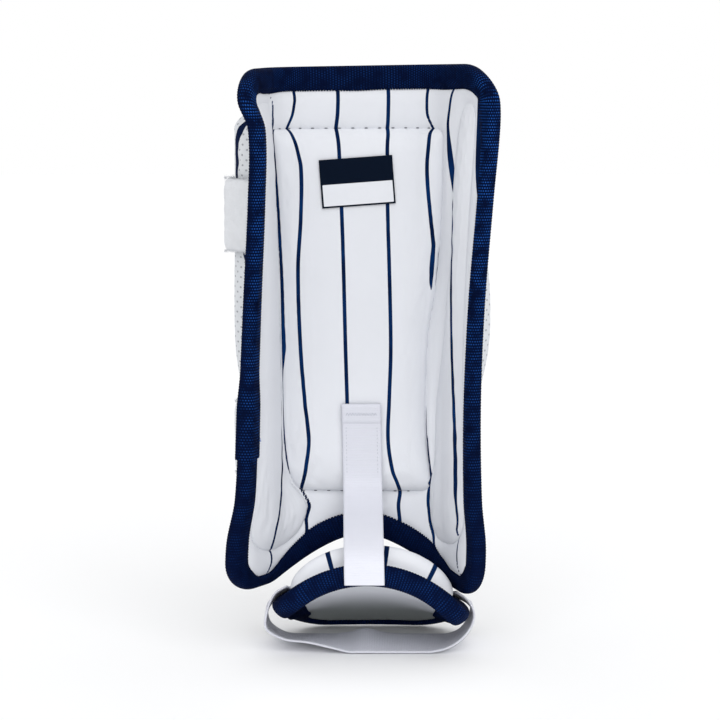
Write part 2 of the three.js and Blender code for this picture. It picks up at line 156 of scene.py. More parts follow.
# grids of pattern points, each with its distance from the sides and from the ends
def roundedGrid(shape):
    turn = np.linspace(0, math.pi / 2, shape["cornerSteps"] + 1)
    rise, inset = 1 - np.cos(turn), 1 - np.sin(turn)
    lowLeft, lowRight, lowTall = shape["bottomCorner"]
    highLeft, highRight, highTall = shape["topCorner"]
    middle = np.linspace(0, 1, shape["middleSteps"] + 1)[1:-1]
    plain, ends = np.zeros(len(middle)), np.zeros(len(turn))

    def column(low, between, high):
        return np.concatenate([low, between, high])[:, None]

    share = column(ends, middle, ends + 1)
    low = column(lowTall * rise, plain + lowTall, ends)
    high = column(ends, plain + highTall, highTall * rise[::-1])
    leftInset = column(lowLeft * inset, plain, highLeft * inset[::-1])
    rightInset = column(lowRight * inset, plain, highRight * inset[::-1])
    rowZ = mix(shape["bottom"](0.0) + low, shape["top"](0.0) - high, share)
    room = 0.9 * (shape["right"](rowZ) - shape["left"](rowZ))
    squeeze = room / np.maximum(room, leftInset + rightInset)
    left = shape["left"](rowZ) + leftInset * squeeze
    right = shape["right"](rowZ) - rightInset * squeeze
    u = np.linspace(0, 1, shape["columns"] + 1)[None, :]
    u = u - shape.get("crowd", 0) * np.sin(2 * math.pi * u) / (2 * math.pi)
    s = mix(left, right, u)
    bottom = shape["bottom"](s)
    top = shape["top"](s)
    z = mix(bottom + low, top - high, share)
    return {"s": s, "z": z, "left": s - left, "right": right - s, "side": np.minimum(s - left, right - s),
            "low": z - bottom, "high": top - z, "end": np.minimum(z - bottom, top - z)}


def plainGrid(columns, rows, left, right, bottom, top):
    s, z = np.meshgrid(np.linspace(left, right, columns + 1), np.linspace(bottom, top, rows + 1))
    return {"s": s, "z": z, "side": np.minimum(s - left, right - s), "end": np.minimum(z - bottom, top - z)}


def gridRim(rows):  # values round the edge of a grid
    return np.concatenate([rows[0], rows[1:-1, -1], rows[-1][::-1], rows[1:-1, 0][::-1]])


def runAlong(*columns):  # length from a path's first point to each point
    steps = np.linalg.norm(np.diff(np.stack(columns, axis=-1), axis=0), axis=-1)
    return np.concatenate([[0], np.cumsum(steps)])


def ringOutline(grid, step):  # even points round a grid's edge, with the directions out of it
    s, z = (np.append(rim, rim[0]) for rim in (gridRim(grid["s"]), gridRim(grid["z"])))
    run = runAlong(s, z)
    count = int(round(run[-1] / step))
    along = np.arange(count) * run[-1] / count
    s, z = np.interp(along, run, s), np.interp(along, run, z)
    reach = max(2, int(1.5 / step))
    tangentS = np.roll(s, -reach) - np.roll(s, reach)
    tangentZ = np.roll(z, -reach) - np.roll(z, reach)
    length = np.hypot(tangentS, tangentZ)
    return {"s": s, "z": z, "along": along, "length": run[-1],
            "outS": tangentZ / length, "outZ": -tangentS / length}


# meshes from arrays
def outward(points, faces):  # faces turned so that the closed mesh has a positive volume
    a, b, c, d = (points[faces[:, k]] for k in range(4))
    volume = np.sum(a * np.cross(b, c)) + np.sum(a * np.cross(c, d))
    return faces if volume > 0 else faces[:, ::-1]


def addMark(mesh, name, values):
    mark = mesh.attributes.new(name, "FLOAT", "POINT")
    mark.data.foreach_set("value", np.ascontiguousarray(values, dtype=np.float32).ravel())


def makePiece(name, points, faces, uv=None, printEdge=None, loopUv=None):
    points = points.reshape(-1, 3)
    faces = np.asarray(faces)
    turned = outward(points, faces)
    if loopUv is not None and turned is not faces:
        loopUv = loopUv[:, ::-1]
    mesh = bpy.data.meshes.new(name)
    mesh.from_pydata(points, [], turned)
    if uv is not None:
        loopUv = uv.reshape(-1, 2)[turned]
    if loopUv is not None:
        layer = mesh.uv_layers.new(name="cloth")
        layer.data.foreach_set("uv", np.ascontiguousarray(loopUv, dtype=np.float32).ravel() * mm)
    if printEdge is not None:
        addMark(mesh, "printEdge", printEdge * mm)
    mesh.polygons.foreach_set("use_smooth", np.ones(len(turned), bool))
    mesh.update()
    piece = bpy.data.objects.new(name, mesh)
    bpy.context.scene.collection.objects.link(piece)
    return piece


def gridQuads(index):
    return np.stack([index[:-1, :-1], index[:-1, 1:], index[1:, 1:], index[1:, :-1]], axis=-1).reshape(-1, 4)


def wallFaces(rows, columns):  # closed wall: a low sheet, a high sheet and the rim between them
    index = np.arange(rows * columns).reshape(rows, columns)
    sheet, edge = gridQuads(index), gridRim(index)
    after = np.roll(edge, -1)
    rim = np.stack([edge, after, after + rows * columns, edge + rows * columns], axis=-1)
    return np.concatenate([sheet + rows * columns, sheet[:, [0, 3, 2, 1]], rim])


# cloth of a pad, held at its seam while the foam presses it out
swell = {
    "frames": 20, "pressure": 4, "mass": 0.02, "stiffness": 6, "bending": 0.3,
    "rows": 44, "columns": 32,  # lines of the coarse cloth
}


def curveWeights(count, knots):  # cubic weights of the coarse lines at every fine line
    at = np.interp(np.arange(count), knots, np.arange(len(knots)))
    cell = np.clip(at.astype(int), 0, len(knots) - 2)
    t = at - cell
    shares = [-0.5 * t + t**2 - 0.5 * t**3, 1 - 2.5 * t**2 + 1.5 * t**3,
              0.5 * t + 2 * t**2 - 1.5 * t**3, -0.5 * t**2 + 0.5 * t**3]
    weights = np.zeros((count, len(knots)))
    for step, share in enumerate(shares):
        np.add.at(weights, (np.arange(count), np.clip(cell + step - 1, 0, len(knots) - 1)), share)
    return weights


def pressOut(name, start, faces):  # where the points of the cloth end, with its rim held
    mesh = bpy.data.meshes.new(name)
    mesh.from_pydata(start.reshape(-1, 3).tolist(), [], faces.tolist())
    cover = bpy.data.objects.new(name, mesh)
    bpy.context.scene.collection.objects.link(cover)
    rim = gridRim(np.arange(len(mesh.vertices)).reshape(start.shape[:2]))
    cover.vertex_groups.new(name="seam").add(rim.tolist(), 1.0, "REPLACE")
    modifier = cover.modifiers.new("swell", "CLOTH")
    settings = modifier.settings
    settings.vertex_group_mass = "seam"
    settings.mass = swell["mass"]
    settings.tension_stiffness = settings.compression_stiffness = swell["stiffness"]
    settings.bending_stiffness = swell["bending"]
    settings.use_pressure = True
    settings.uniform_pressure_force = swell["pressure"]
    settings.effector_weights.gravity = 0
    modifier.point_cache.frame_start, modifier.point_cache.frame_end = 1, swell["frames"]
    for step in range(1, swell["frames"] + 1):
        bpy.context.scene.frame_set(step)
    shape = cover.evaluated_get(bpy.context.evaluated_depsgraph_get()).data
    pressed = np.empty(start.size)
    shape.vertices.foreach_get("co", pressed)
    bpy.context.scene.frame_set(1)
    bpy.data.objects.remove(cover)
    bpy.data.meshes.remove(mesh)
    return pressed.reshape(start.shape)


def swellFace(name, low, high, cap):  # a face pressed out on a coarse copy, by no more than the cap
    lines = [np.unique(np.linspace(0, size - 1, count).round().astype(int))
             for size, count in zip(high.shape, (swell["rows"], swell["columns"]))]
    pick = np.ix_(*lines)
    start = high[pick]
    faces = gridQuads(np.arange(start[..., 0].size).reshape(start.shape[:2]))
    normal = np.cross(start[:-1, 1:] - start[:-1, :-1], start[1:, :-1] - start[:-1, :-1])
    if np.sum(normal * (start - low[pick])[:-1, :-1]) < 0:
        faces = faces[:, ::-1]
    moved = pressOut(name, start, faces) - start
    far = np.maximum(np.linalg.norm(moved, axis=-1, keepdims=True), 1e-9)
    print(name, "swelled", round(float(far.max()) / mm, 2), "mm before the cap")
    moved *= cap * mm * np.tanh(far / (cap * mm)) / far
    byRow, byColumn = (curveWeights(size, knots) for size, knots in zip(high.shape, lines))
    return high + np.einsum("im,jn,mnk->ijk", byRow, byColumn, moved)


def wallPiece(name, grid, place, low, high, printEdge=None, slack=0):
    s, z = grid["s"], grid["z"]
    near, far = place(s, z, low), place(s, z, high)
    if slack:  # starts a little flatter, then swells
        flatter = near + (far - near) * (1 - slack / np.abs(high - low).max())
        far = swellFace(name + "Swell", near, flatter, slack)
    points = np.concatenate([near.reshape(-1, 3), far.reshape(-1, 3)])
    uv = np.stack([s, z], axis=-1).reshape(-1, 2)
    if printEdge is not None:
        printEdge = np.concatenate([printEdge.ravel()] * 2)
    return makePiece(name, points, wallFaces(*s.shape), np.concatenate([uv, uv]), printEdge)


def dress(piece, material, slot, *nodes):
    piece.data.materials.append(material)
    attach(piece, "root")
    if nodes:
        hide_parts(*nodes)
    return piece


# shader groups
def newGroup(name, inputs, outputs):  # an input without a value is a vector
    group = bpy.data.node_groups.new(name, "ShaderNodeTree")
    for title, value in inputs.items():
        kind = "NodeSocketVector" if value is None else "NodeSocketFloat"
        socket = group.interface.new_socket(name=title, in_out="INPUT", socket_type=kind)
        if value is not None:
            socket.default_value = value
    for title in outputs:
        group.interface.new_socket(name=title, in_out="OUTPUT", socket_type="NodeSocketFloat")
    return group, group.nodes.new("NodeGroupInput").outputs, group.nodes.new("NodeGroupOutput").inputs


def feed(tree, socket, value):
    if isinstance(value, bpy.types.NodeSocket):
        tree.links.new(value, socket)
    else:
        socket.default_value = value


def math2(tree, operation, a, b=0.0, clamp=False):
    node = tree.nodes.new("ShaderNodeMath")
    node.operation = operation
    node.use_clamp = clamp
    feed(tree, node.inputs[0], a)
    feed(tree, node.inputs[1], b)
    return node.outputs[0]


def plus(tree, a, b):
    return math2(tree, "ADD", a, b)


def minus(tree, a, b):
    return math2(tree, "SUBTRACT", a, b)


def times(tree, a, b):
    return math2(tree, "MULTIPLY", a, b)


def over(tree, a, b):
    return math2(tree, "DIVIDE", a, b)


def wave(tree, turns):
    return math2(tree, "SINE", times(tree, turns, 2 * math.pi))


def hump(tree, share):  # up and down once while the share goes from 0 to 1
    return math2(tree, "SINE", times(tree, share, math.pi))


def ramp(tree, value, low, high, toLow=0.0, toHigh=1.0):  # smooth step between two levels
    node = tree.nodes.new("ShaderNodeMapRange")
    node.interpolation_type = "SMOOTHSTEP"
    given = {"Value": value, "From Min": low, "From Max": high, "To Min": toLow, "To Max": toHigh}
    for title, setting in given.items():
        feed(tree, node.inputs[title], setting)
    return node.outputs["Result"]


def noiseAt(tree, vector, scale, detail):
    node = tree.nodes.new("ShaderNodeTexNoise")
    node.inputs["Detail"].default_value = detail
    feed(tree, node.inputs["Vector"], vector)
    feed(tree, node.inputs["Scale"], scale)
    return node.outputs[0]


def splitUv(tree, vector):
    node = tree.nodes.new("ShaderNodeSeparateXYZ")
    feed(tree, node.inputs[0], vector)
    return node.outputs["X"], node.outputs["Y"]


def staggered(tree, vector, wide, tall):  # place inside a cell, with every other row moved by half a cell
    u, v = splitUv(tree, vector)
    row = over(tree, v, tall)
    odd = math2(tree, "MODULO", math2(tree, "FLOOR", row), 2.0)
    column = plus(tree, over(tree, u, wide), times(tree, odd, 0.5))
    return math2(tree, "FRACT", column), math2(tree, "FRACT", row)


def printGroup():  # mask of a printed shape from the distance to its edge, below 0 inside it
    soft = 0.00012
    group, given, made = newGroup("printMask", {"Distance": 0.01}, ["Mask"])
    feed(group, made["Mask"], ramp(group, given["Distance"], -soft, soft, 1.0, 0.0))
    return group


def toneGroup():  # slow change of tone over the cloth
    group, given, made = newGroup("slowTone", {"Vector": None, "Size": 0.03, "Amount": 0.05}, ["Tone"])
    noise = noiseAt(group, given["Vector"], over(group, 1.0, given["Size"]), 3)
    swing = times(group, minus(group, noise, 0.5), given["Amount"])
    feed(group, made["Tone"], plus(group, swing, 1.0))
    return group


def knitGroup():  # V-shaped loops of a jersey knit
    sizes = {"Vector": None, "Wale": 0.0009, "Course": 0.0007}
    group, given, made = newGroup("jerseyKnit", sizes, ["Height"])
    u, v = splitUv(group, given["Vector"])
    leg = math2(group, "PINGPONG", over(group, u, given["Wale"]), 0.5)
    loop = wave(group, plus(group, over(group, v, given["Course"]), leg))
    feed(group, made["Height"], plus(group, times(group, loop, 0.3), times(group, wave(group, leg), 0.5)))
    return group


def weaveGroup():  # staggered floats of a woven tape, with a mask of the thread dashes that get the painted glint
    inputs = {"Vector": None, "Pitch": 0.0018, "Wide": 0.0016}
    group, given, made = newGroup("tapeWeave", inputs, ["Height", "Speck"])
    column, row = staggered(group, given["Vector"], given["Wide"], given["Pitch"])
    acrossRow, acrossColumn = hump(group, row), hump(group, column)
    floats = times(group, acrossRow, acrossColumn)
    feed(group, made["Height"], plus(group, times(group, acrossRow, 0.6), times(group, floats, 0.4)))
    lively = ramp(group, noiseAt(group, given["Vector"], 110, 3), 0.3, 0.65)
    dash = times(group, ramp(group, acrossRow, 0.6, 0.95), ramp(group, acrossColumn, 0.5, 0.88))
    feed(group, made["Speck"], times(group, dash, lively))
    return group


def ribGroup():  # cross ribs and fine lengthwise cords of a woven elastic
    group, given, made = newGroup("elasticRib", {"Vector": None, "Rib": 0.0011, "Cord": 0.0008}, ["Height"])
    u, v = splitUv(group, given["Vector"])
    cord = wave(group, over(group, u, given["Cord"]))
    rib = wave(group, plus(group, over(group, v, given["Rib"]), times(group, cord, 0.12)))
    feed(group, made["Height"], plus(group, times(group, rib, 0.35), times(group, cord, 0.15)))
    return group


def holeGroup():  # staggered round holes of an air mesh
    rowShare = 0.62  # a row's height for each width of a cell
    group, given, made = newGroup("meshHoles", {"Vector": None, "Pitch": 0.0052, "Radius": 0.12}, ["Mask"])
    pitch = given["Pitch"]
    column, row = staggered(group, given["Vector"], pitch, times(group, pitch, rowShare))
    x = minus(group, column, 0.5)
    y = times(group, minus(group, row, 0.5), rowShare)
    distance = math2(group, "SQRT", plus(group, times(group, x, x), times(group, y, y)))
    edge = minus(group, distance, given["Radius"])
    feed(group, made["Mask"], ramp(group, edge, -0.04, 0.04, 1.0, 0.0))
    return group


groups = {"print": printGroup(), "tone": toneGroup(), "knit": knitGroup(), "weave": weaveGroup(),
          "rib": ribGroup(), "hole": holeGroup()}


# materials
def newMaterial(name, roughness, specular, sheen=0.0):
    material = bpy.data.materials.new(name)
    material.use_nodes = True
    tree = material.node_tree
    shader = tree.nodes["Principled BSDF"]
    given = {"Roughness": roughness, "Specular IOR Level": specular, "Sheen Weight": sheen,
             "Sheen Roughness": 0.5}
    for title, setting in given.items():
        shader.inputs[title].default_value = setting
    return material, tree, shader


def useGroup(tree, key, **values):
    node = tree.nodes.new("ShaderNodeGroup")
    node.node_tree = groups[key]
    for title, value in values.items():
        feed(tree, node.inputs[title], value)
    return node.outputs


def clothUv(tree):
    node = tree.nodes.new("ShaderNodeUVMap")
    node.uv_map = "cloth"
    return node.outputs["UV"]


def objectPlace(tree):
    return tree.nodes.new("ShaderNodeTexCoord").outputs["Object"]


def pointMark(tree, name):
    node = tree.nodes.new("ShaderNodeAttribute")
    node.attribute_name = name
    return node.outputs["Fac"]


def blendColor(tree, factor, a, b):
    node = tree.nodes.new("ShaderNodeMix")
    node.data_type = "RGBA"
    feed(tree, node.inputs["Factor"], factor)
    feed(tree, node.inputs["A"], a)
    feed(tree, node.inputs["B"], b)
    return node.outputs["Result"]


def scaleColor(tree, color, factor):
    node = tree.nodes.new("ShaderNodeMix")
    node.data_type = "RGBA"
    node.blend_type = "MULTIPLY"
    node.inputs["Factor"].default_value = 1
    feed(tree, node.inputs["A"], color)
    grey = tree.nodes.new("ShaderNodeCombineColor")
    for channel in ("Red", "Green", "Blue"):
        feed(tree, grey.inputs[channel], factor)
    feed(tree, node.inputs["B"], grey.outputs[0])
    return node.outputs["Result"]


def slowTone(tree, size, amount):
    return useGroup(tree, "tone", Vector=objectPlace(tree), Size=size, Amount=amount)["Tone"]


def printMask(tree):
    return useGroup(tree, "print", Distance=pointMark(tree, "printEdge"))["Mask"]


def addColor(tree, shader, color):
    feed(tree, shader.inputs["Base Color"], color)


def addBump(tree, shader, height, depth, strength):
    node = tree.nodes.new("ShaderNodeBump")
    node.inputs["Strength"].default_value = strength
    node.inputs["Distance"].default_value = depth
    feed(tree, node.inputs["Height"], height)
    tree.links.new(node.outputs["Normal"], shader.inputs["Normal"])


navy = {
    # the bright blue on this line is the colour of the painted glint on the tape's threads
    "deep": (0.0026, 0.0062, 0.016, 1), "tape": (0.0012, 0.0042, 0.024, 1), "glintBlue": (0.012, 0.085, 0.37, 1),
    "stripe": (0.0012, 0.008, 0.04, 1), "stripeLight": (0.002, 0.03, 0.13, 1), "loose": (0.01, 0.12, 0.5, 1),
}
white = {
    "lining": (0.72, 0.735, 0.775, 1), "elastic": (0.655, 0.665, 0.73, 1), "pile": (0.7, 0.715, 0.745, 1),
    # the second colour below is painted shade seen inside the mesh's holes
    "mesh": (0.7, 0.72, 0.75, 1), "hole": (0.12, 0.13, 0.15, 1), "thread": (0.5, 0.52, 0.58, 1),
    # the first colour below is painted shade for the underside deep under the instep arch
    "underShade": (0.3, 0.32, 0.32, 1), "threadAndHoleShade": (0.16, 0.17, 0.2, 1), "floor": (0.95, 0.953, 0.96, 1),
}


def liningCloth():
    material, tree, shader = newMaterial("liningCloth", roughness=0.88, specular=0.04)
    tone = slowTone(tree, 0.035, 0.06)
    patchy = math2(tree, "SUBTRACT", slowTone(tree, 0.02, 2.0), 0.7, clamp=True)
    ink = blendColor(tree, patchy, navy["stripe"], navy["stripeLight"])
    color = blendColor(tree, printMask(tree), scaleColor(tree, white["lining"], tone), ink)
    # painted shade: the instep's underside is mixed towards dark grey deeper under the arch
    underShade = scaleColor(tree, white["underShade"], tone)
    addColor(tree, shader, blendColor(tree, pointMark(tree, "paintedUnderShade"), color, underShade))
    knit = useGroup(tree, "knit", Vector=clothUv(tree))["Height"]
    addBump(tree, shader, knit, depth=0.00012, strength=0.5)
    return material


def meshCloth():
    material, tree, shader = newMaterial("meshCloth", roughness=0.9, specular=0.08)
    uv = clothUv(tree)
    hole = useGroup(tree, "hole", Vector=uv)["Mask"]
    plain = scaleColor(tree, white["mesh"], slowTone(tree, 0.03, 0.08))
    # painted shade: the holes are mixed towards a dark colour for the shade inside them
    holed = blendColor(tree, times(tree, hole, 0.55), plain, white["hole"])
    addColor(tree, shader, blendColor(tree, printMask(tree), holed, navy["stripe"]))
    knit = useGroup(tree, "knit", Vector=uv)["Height"]
    addBump(tree, shader, minus(tree, times(tree, knit, 0.2), hole), depth=0.0005, strength=0.7)
    return material


def tapeCloth():
    material, tree, shader = newMaterial("tapeCloth", roughness=0.75, specular=0.02)
    weave = useGroup(tree, "weave", Vector=clothUv(tree))
    # painted glint: the weave's dashes are mixed towards bright blue by the glint strength stored on the tape
    lit = times(tree, weave["Speck"], pointMark(tree, "paintedGlint"))
    color = blendColor(tree, lit, navy["tape"], navy["glintBlue"])
    addColor(tree, shader, scaleColor(tree, color, slowTone(tree, 0.05, 0.5)))
    addBump(tree, shader, weave["Height"], depth=0.0005, strength=0.9)
    return material


def elasticCloth():
    material, tree, shader = newMaterial("elasticCloth", roughness=0.85, specular=0.08)
    rib = useGroup(tree, "rib", Vector=clothUv(tree))["Height"]
    shade = plus(tree, slowTone(tree, 0.02, 0.05), times(tree, rib, 0.04))
    addColor(tree, shader, scaleColor(tree, white["elastic"], shade))
    addBump(tree, shader, rib, depth=0.00025, strength=0.6)
    return material


def pileCloth():
    material, tree, shader = newMaterial("pileCloth", roughness=0.95, specular=0.05, sheen=0.1)
    addColor(tree, shader, scaleColor(tree, white["pile"], slowTone(tree, 0.006, 0.16)))
    addBump(tree, shader, noiseAt(tree, objectPlace(tree), 900, 4), depth=0.0006, strength=0.8)
    return material


def labelCloth():
    material, tree, shader = newMaterial("labelCloth", roughness=0.75, specular=0.03)
    light = scaleColor(tree, white["lining"], slowTone(tree, 0.01, 0.08))
    addColor(tree, shader, blendColor(tree, printMask(tree), navy["deep"], light))
    rib = useGroup(tree, "rib", Vector=clothUv(tree), Rib=0.0005, Cord=0.0006)["Height"]
    addBump(tree, shader, rib, depth=0.00008, strength=0.5)
    return material


def threadCloth(name, color):
    material, tree, shader = newMaterial(name, roughness=0.75, specular=0.1)
    addColor(tree, shader, scaleColor(tree, color, slowTone(tree, 0.002, 0.25)))
    return material


cloth = {
    "lining": liningCloth(), "mesh": meshCloth(), "binding": tapeCloth(), "elastic": elasticCloth(),
    "pile": pileCloth(), "label": labelCloth(),
    "whiteThread": threadCloth("whiteThread", white["thread"]),
    # the dark grey thread below is partly painted shade of needle holes in the pad seams
    "threadAndHoleShade": threadCloth("threadAndHoleShade", white["threadAndHoleShade"]),
    "navyThread": threadCloth("navyThread", navy["stripe"]),
    "blueThread": threadCloth("blueThread", navy["loose"]),
}
print("cloths ready:", len(cloth))

# pinstripes of the lining: where each runs across the pattern by height, and half its width if that changes
stripeHalf = 1.25
stripes = {
    "l3": {"z": [49, 57, 62, 73, 86, 99, 110, 126, 140, 161, 246, 280, 312, 336, 341, 347, 353.5, 359, 372],
           "s": [-77.8, -73.4, -72.6, -72.9, -69.5, -65.2, -63, -60.5, -59.5, -58.3, -58, -59.6, -61.8,
                 -62.4, -62, -62.8, -64.2, -69, -78],
           "half": [1.1, 1.1, 1.1, 1.2, 1.2, 1.2, 1.2, 1.2, 1, 0.6, 0.6, 0.6, 0.8, 1, 1, 1, 1, 1, 1]},
    "l2": {"z": [50, 71, 75, 81.3, 84.3, 90.5, 98.2, 102, 108, 115, 135, 161, 194, 246, 280, 312, 326,
                 336, 345, 354],
           "s": [-38, -37.8, -37.5, -37.6, -36.6, -35, -38.8, -41, -41, -39.7, -36, -40, -43.5, -44, -40,
                 -39, -44, -46, -42.5, -40.6]},
    "l1": {"z": [135, 161, 194, 246, 280, 312, 326, 336, 345, 354],
           "s": [-8, -8.5, -9, -9.3, -9.7, -10.6, -11, -11.6, -10.9, -10.7]},
    "r1": {"z": [81, 91, 101, 115, 135, 161, 194, 246, 280, 312, 326, 336, 345],
           "s": [24.6, 24, 25, 20.5, 17.8, 18.7, 20.2, 20.2, 20, 20.2, 20.5, 21.8, 22]},
    "r2": {"z": [50, 63, 67.6, 72, 75, 80, 86, 93, 100, 110, 130, 145, 160, 175, 226, 233, 240, 250, 262,
                 280, 312, 326, 336, 345, 354],
           "s": [51.6, 51.7, 50.8, 50.2, 49, 47.3, 46.4, 45.7, 46.2, 47.8, 46, 45, 45.2, 46, 52.2, 53.2,
                 54.2, 55.8, 57.4, 57, 55.5, 57, 55, 51, 50.3],
           "half": [1.1, 1.1, 1.1, 1.1, 1.1, 1.1, 1.1, 1.1, 1.2, 1.3, 1, 0.5, 0.1, -2, -2, 0.6, 1.6, 2,
                    1.6, 1.3, 1.25, 1.25, 1.25, 1.25, 1.25]},
    "r3": {"z": [50, 54, 59, 69, 81, 87, 95, 135, 161, 194, 246, 280, 300, 313, 323, 339, 350, 362],
           "s": [94, 92.6, 89.7, 88.1, 88.6, 91, 91.8, 92, 90.5, 87.5, 83.5, 80.5, 77.5, 75.6, 74, 72.3,
                 74, 76.7],
           "half": [1.1, 1.1, 1.1, 1.1, 1.1, 1.3, 1.8, 2, 1.9, 1.7, 1.5, 1.4, 1.5, 2.3, 2.3, 1.4, 1.2, 1.2]},
    "r4": {"z": [290, 308, 318, 330, 339, 347, 357, 372],
           "s": [110, 106, 104.6, 103.4, 102.5, 102.2, 102.8, 104],
           "half": [1.2, 1.8, 2.2, 2.2, 1.9, 1.6, 1.2, 1]},
}


def clothStretch(place, s, z, face):  # real length of the cloth for each mm across the pattern
    steps = np.linalg.norm(np.gradient(place(s, z, face), axis=1), axis=-1) / mm
    return np.clip(steps / np.abs(np.gradient(s, axis=1)), 0.4, 4)


def stripeEdge(s, z, stretch=1.0):  # distance to the nearest stripe's edge
    edges = []
    for line in stripes.values():
        half = smoothRows(line, "half", z) if "half" in line else stripeHalf
        edges.append(np.abs(s - smoothRows(line, "s", z)) * stretch - half)
    return np.min(edges, axis=0)


# pads of the leg side
def roundOff(distance, bevel):
    left = 1 - np.clip(distance / bevel, 0, 1)
    return np.sqrt(1 - left * left)


def gathers(along, away, pitch, reach):  # small tucks where the seam thread pulls the cloth in
    wave = 0.5 + 0.5 * np.cos(2 * math.pi * (along + 1.4 * np.sin(along * 0.11)) / pitch)
    return wave**3 * np.exp(-away / reach)


def lumps(s, z):  # slow unevenness of the foam
    slow = 0.5 * np.sin(s / 15 + z / 37) + 0.3 * np.sin(s / 9 - z / 24 + 1.3)
    return slow + 0.2 * np.sin(s / 21 + z / 13 + 0.4)


centerPad = {
    "bottomZ": 100.4, "topZ": 336, "rim": 0.15, "crown": 10.5, "bevel": 15, "lump": 0.3, "slack": 1.3,
    "tuckDepth": 1.6, "tuckPitch": 8.7, "tuckReach": 3.2,
    "bottomCorner": (8, 8, 8), "topCorner": (2.5, 8, 5),
    "rows": {
        "z": [100, 106, 116, 130, 148, 165, 187, 207, 236, 290, 336],
        "left": [-44.5, -46.5, -51, -53.6, -54.5, -54.5, -54.5, -54.5, -54.5, -57, -62],
        "right": [48, 47.8, 46.8, 45, 44, 44.2, 45.6, 48, 54.6, 62.7, 65],
    },
    "seamStripe": {  # runs along the left seam, on the flank of the pad
        "z": [108, 114, 130, 150, 165, 178, 190, 196, 214, 246, 288, 304, 317, 332],
        "wide": [-1, 1.4, 1.8, 1.1, 0.9, 1.2, 3.2, 3.9, 3.4, 3.2, 2.7, 2.3, 2, 1.4],
    },
}
padBase = shin["halfThick"] + 0.1


def centerSide(name):
    return lambda z: smoothRows(centerPad["rows"], name, z)


centerShape = {
    "columns": 110, "crowd": 0.55, "cornerSteps": 12, "middleSteps": 150,
    "bottomCorner": centerPad["bottomCorner"], "topCorner": centerPad["topCorner"],
    "bottom": level(centerPad["bottomZ"]), "top": level(centerPad["topZ"]),
    "left": centerSide("left"), "right": centerSide("right"),
}


def padFace(grid, pad, sideRound, topBevel):  # the smooth face of a pad, and the face with its tucks
    pitch, reach = pad["tuckPitch"], pad["tuckReach"]
    body = sideRound * roundOff(grid["low"], pad["bevel"]) * roundOff(grid["high"], topBevel)
    tucks = gathers(grid["s"], grid["end"], pitch, reach) * np.exp(-grid["side"] / 400)
    tucks = np.maximum(tucks, 0.5 * gathers(grid["z"], grid["side"], pitch, reach))
    rise = (pad["crown"] - pad["rim"]) * body + pad["lump"] * lumps(grid["s"], grid["z"]) * body
    plain = padBase + pad["rim"] + rise
    return plain, np.maximum(plain - pad["tuckDepth"] * tucks * body, padBase + pad["rim"])


def buildCenterPad():
    grid = roundedGrid(centerShape)
    plain, face = padFace(grid, centerPad, roundOff(grid["side"], centerPad["bevel"]), centerPad["bevel"])
    edge = stripeEdge(grid["s"], grid["z"], clothStretch(shinPlace, grid["s"], grid["z"], plain))
    seamStripe = centerPad["seamStripe"]
    flank = np.hypot(grid["left"], plain - padBase)
    edge = np.minimum(edge, flank - smoothRows(seamStripe, "wide", grid["z"]))
    piece = wallPiece("centerPadCloth", grid, shinPlace, padBase, face, edge, centerPad["slack"])
    dress(piece, cloth["lining"], "lining", "center_pad")


sidePad = {
    "edge": 98, "topZ": 353, "rim": 0.15, "crown": 5.5, "bevel": 15, "outerBevel": 26, "lump": 0.25,
    "slack": 0.8, "tuckDepth": 0.5, "tuckPitch": 9.5, "tuckReach": 3, "topCorner": (5, 5, 12),
    "left": {"bottomZ": 63.8, "corner": (29, 29, 21), "topBevel": 48},
    "right": {"bottomZ": 68.8, "corner": (15, 35, 28), "topBevel": 15},
    "rows": {
        "z": [66, 80, 90, 98, 106, 122, 161, 205, 253, 290, 330, 353],
        "left": [-39.5, -38.5, -36.8, -41, -48.5, -54.8, -55.8, -55.8, -56.6, -58.4, -62.9, -65.5],
        "right": [44, 45.5, 46.8, 47.2, 47.9, 51.4, 54, 63.5, 75.5, 77.2, 80.5, 86],
    },
}


def sideShape(side):
    def inner(z):
        return smoothRows(sidePad["rows"], side, z)

    outer = level(-sidePad["edge"] if side == "left" else sidePad["edge"])
    return {
        "columns": 56, "crowd": 0.4, "cornerSteps": 20, "middleSteps": 140,
        "bottomCorner": sidePad[side]["corner"], "topCorner": sidePad["topCorner"],
        "bottom": level(sidePad[side]["bottomZ"]), "top": level(sidePad["topZ"]),
        "left": outer if side == "left" else inner, "right": inner if side == "left" else outer,
    }


def buildSidePad(side, name, node):
    grid = roundedGrid(sideShape(side))
    inner, outer = (grid["right"], grid["left"]) if side == "left" else (grid["left"], grid["right"])
    sideRound = roundOff(inner, sidePad["bevel"]) * roundOff(outer, sidePad["outerBevel"])
    plain, face = padFace(grid, sidePad, sideRound, sidePad[side]["topBevel"])
    edge = stripeEdge(grid["s"], grid["z"], clothStretch(shinPlace, grid["s"], grid["z"], plain))
    piece = wallPiece(name, grid, shinPlace, padBase, face, edge, sidePad["slack"])
    dress(piece, cloth["lining"], "lining", node)


padShapes = [centerShape, sideShape("left"), sideShape("right")]


def seamDistance(shape, s, z):  # distance from a pad's seam, 0 under the pad
    ring = ringOutline(roundedGrid(shape), 1)
    rows = [np.hypot(rowS[:, None] - ring["s"], rowZ[:, None] - ring["z"]).min(axis=1)
            for rowS, rowZ in zip(s, z)]
    left, right = shape["left"](z), shape["right"](z)
    ends = (shape["bottomCorner"], z - shape["bottom"](0.0)), (shape["topCorner"], shape["top"](0.0) - z)
    for (wideLeft, wideRight, tall), rise in ends:
        left = left + wideLeft * (1 - roundOff(rise, tall))
        right = right - wideRight * (1 - roundOff(rise, tall))
    under = (s > left) & (s < right) & (z > shape["bottom"](0.0)) & (z < shape["top"](0.0))
    return np.where(under, 0, np.array(rows))


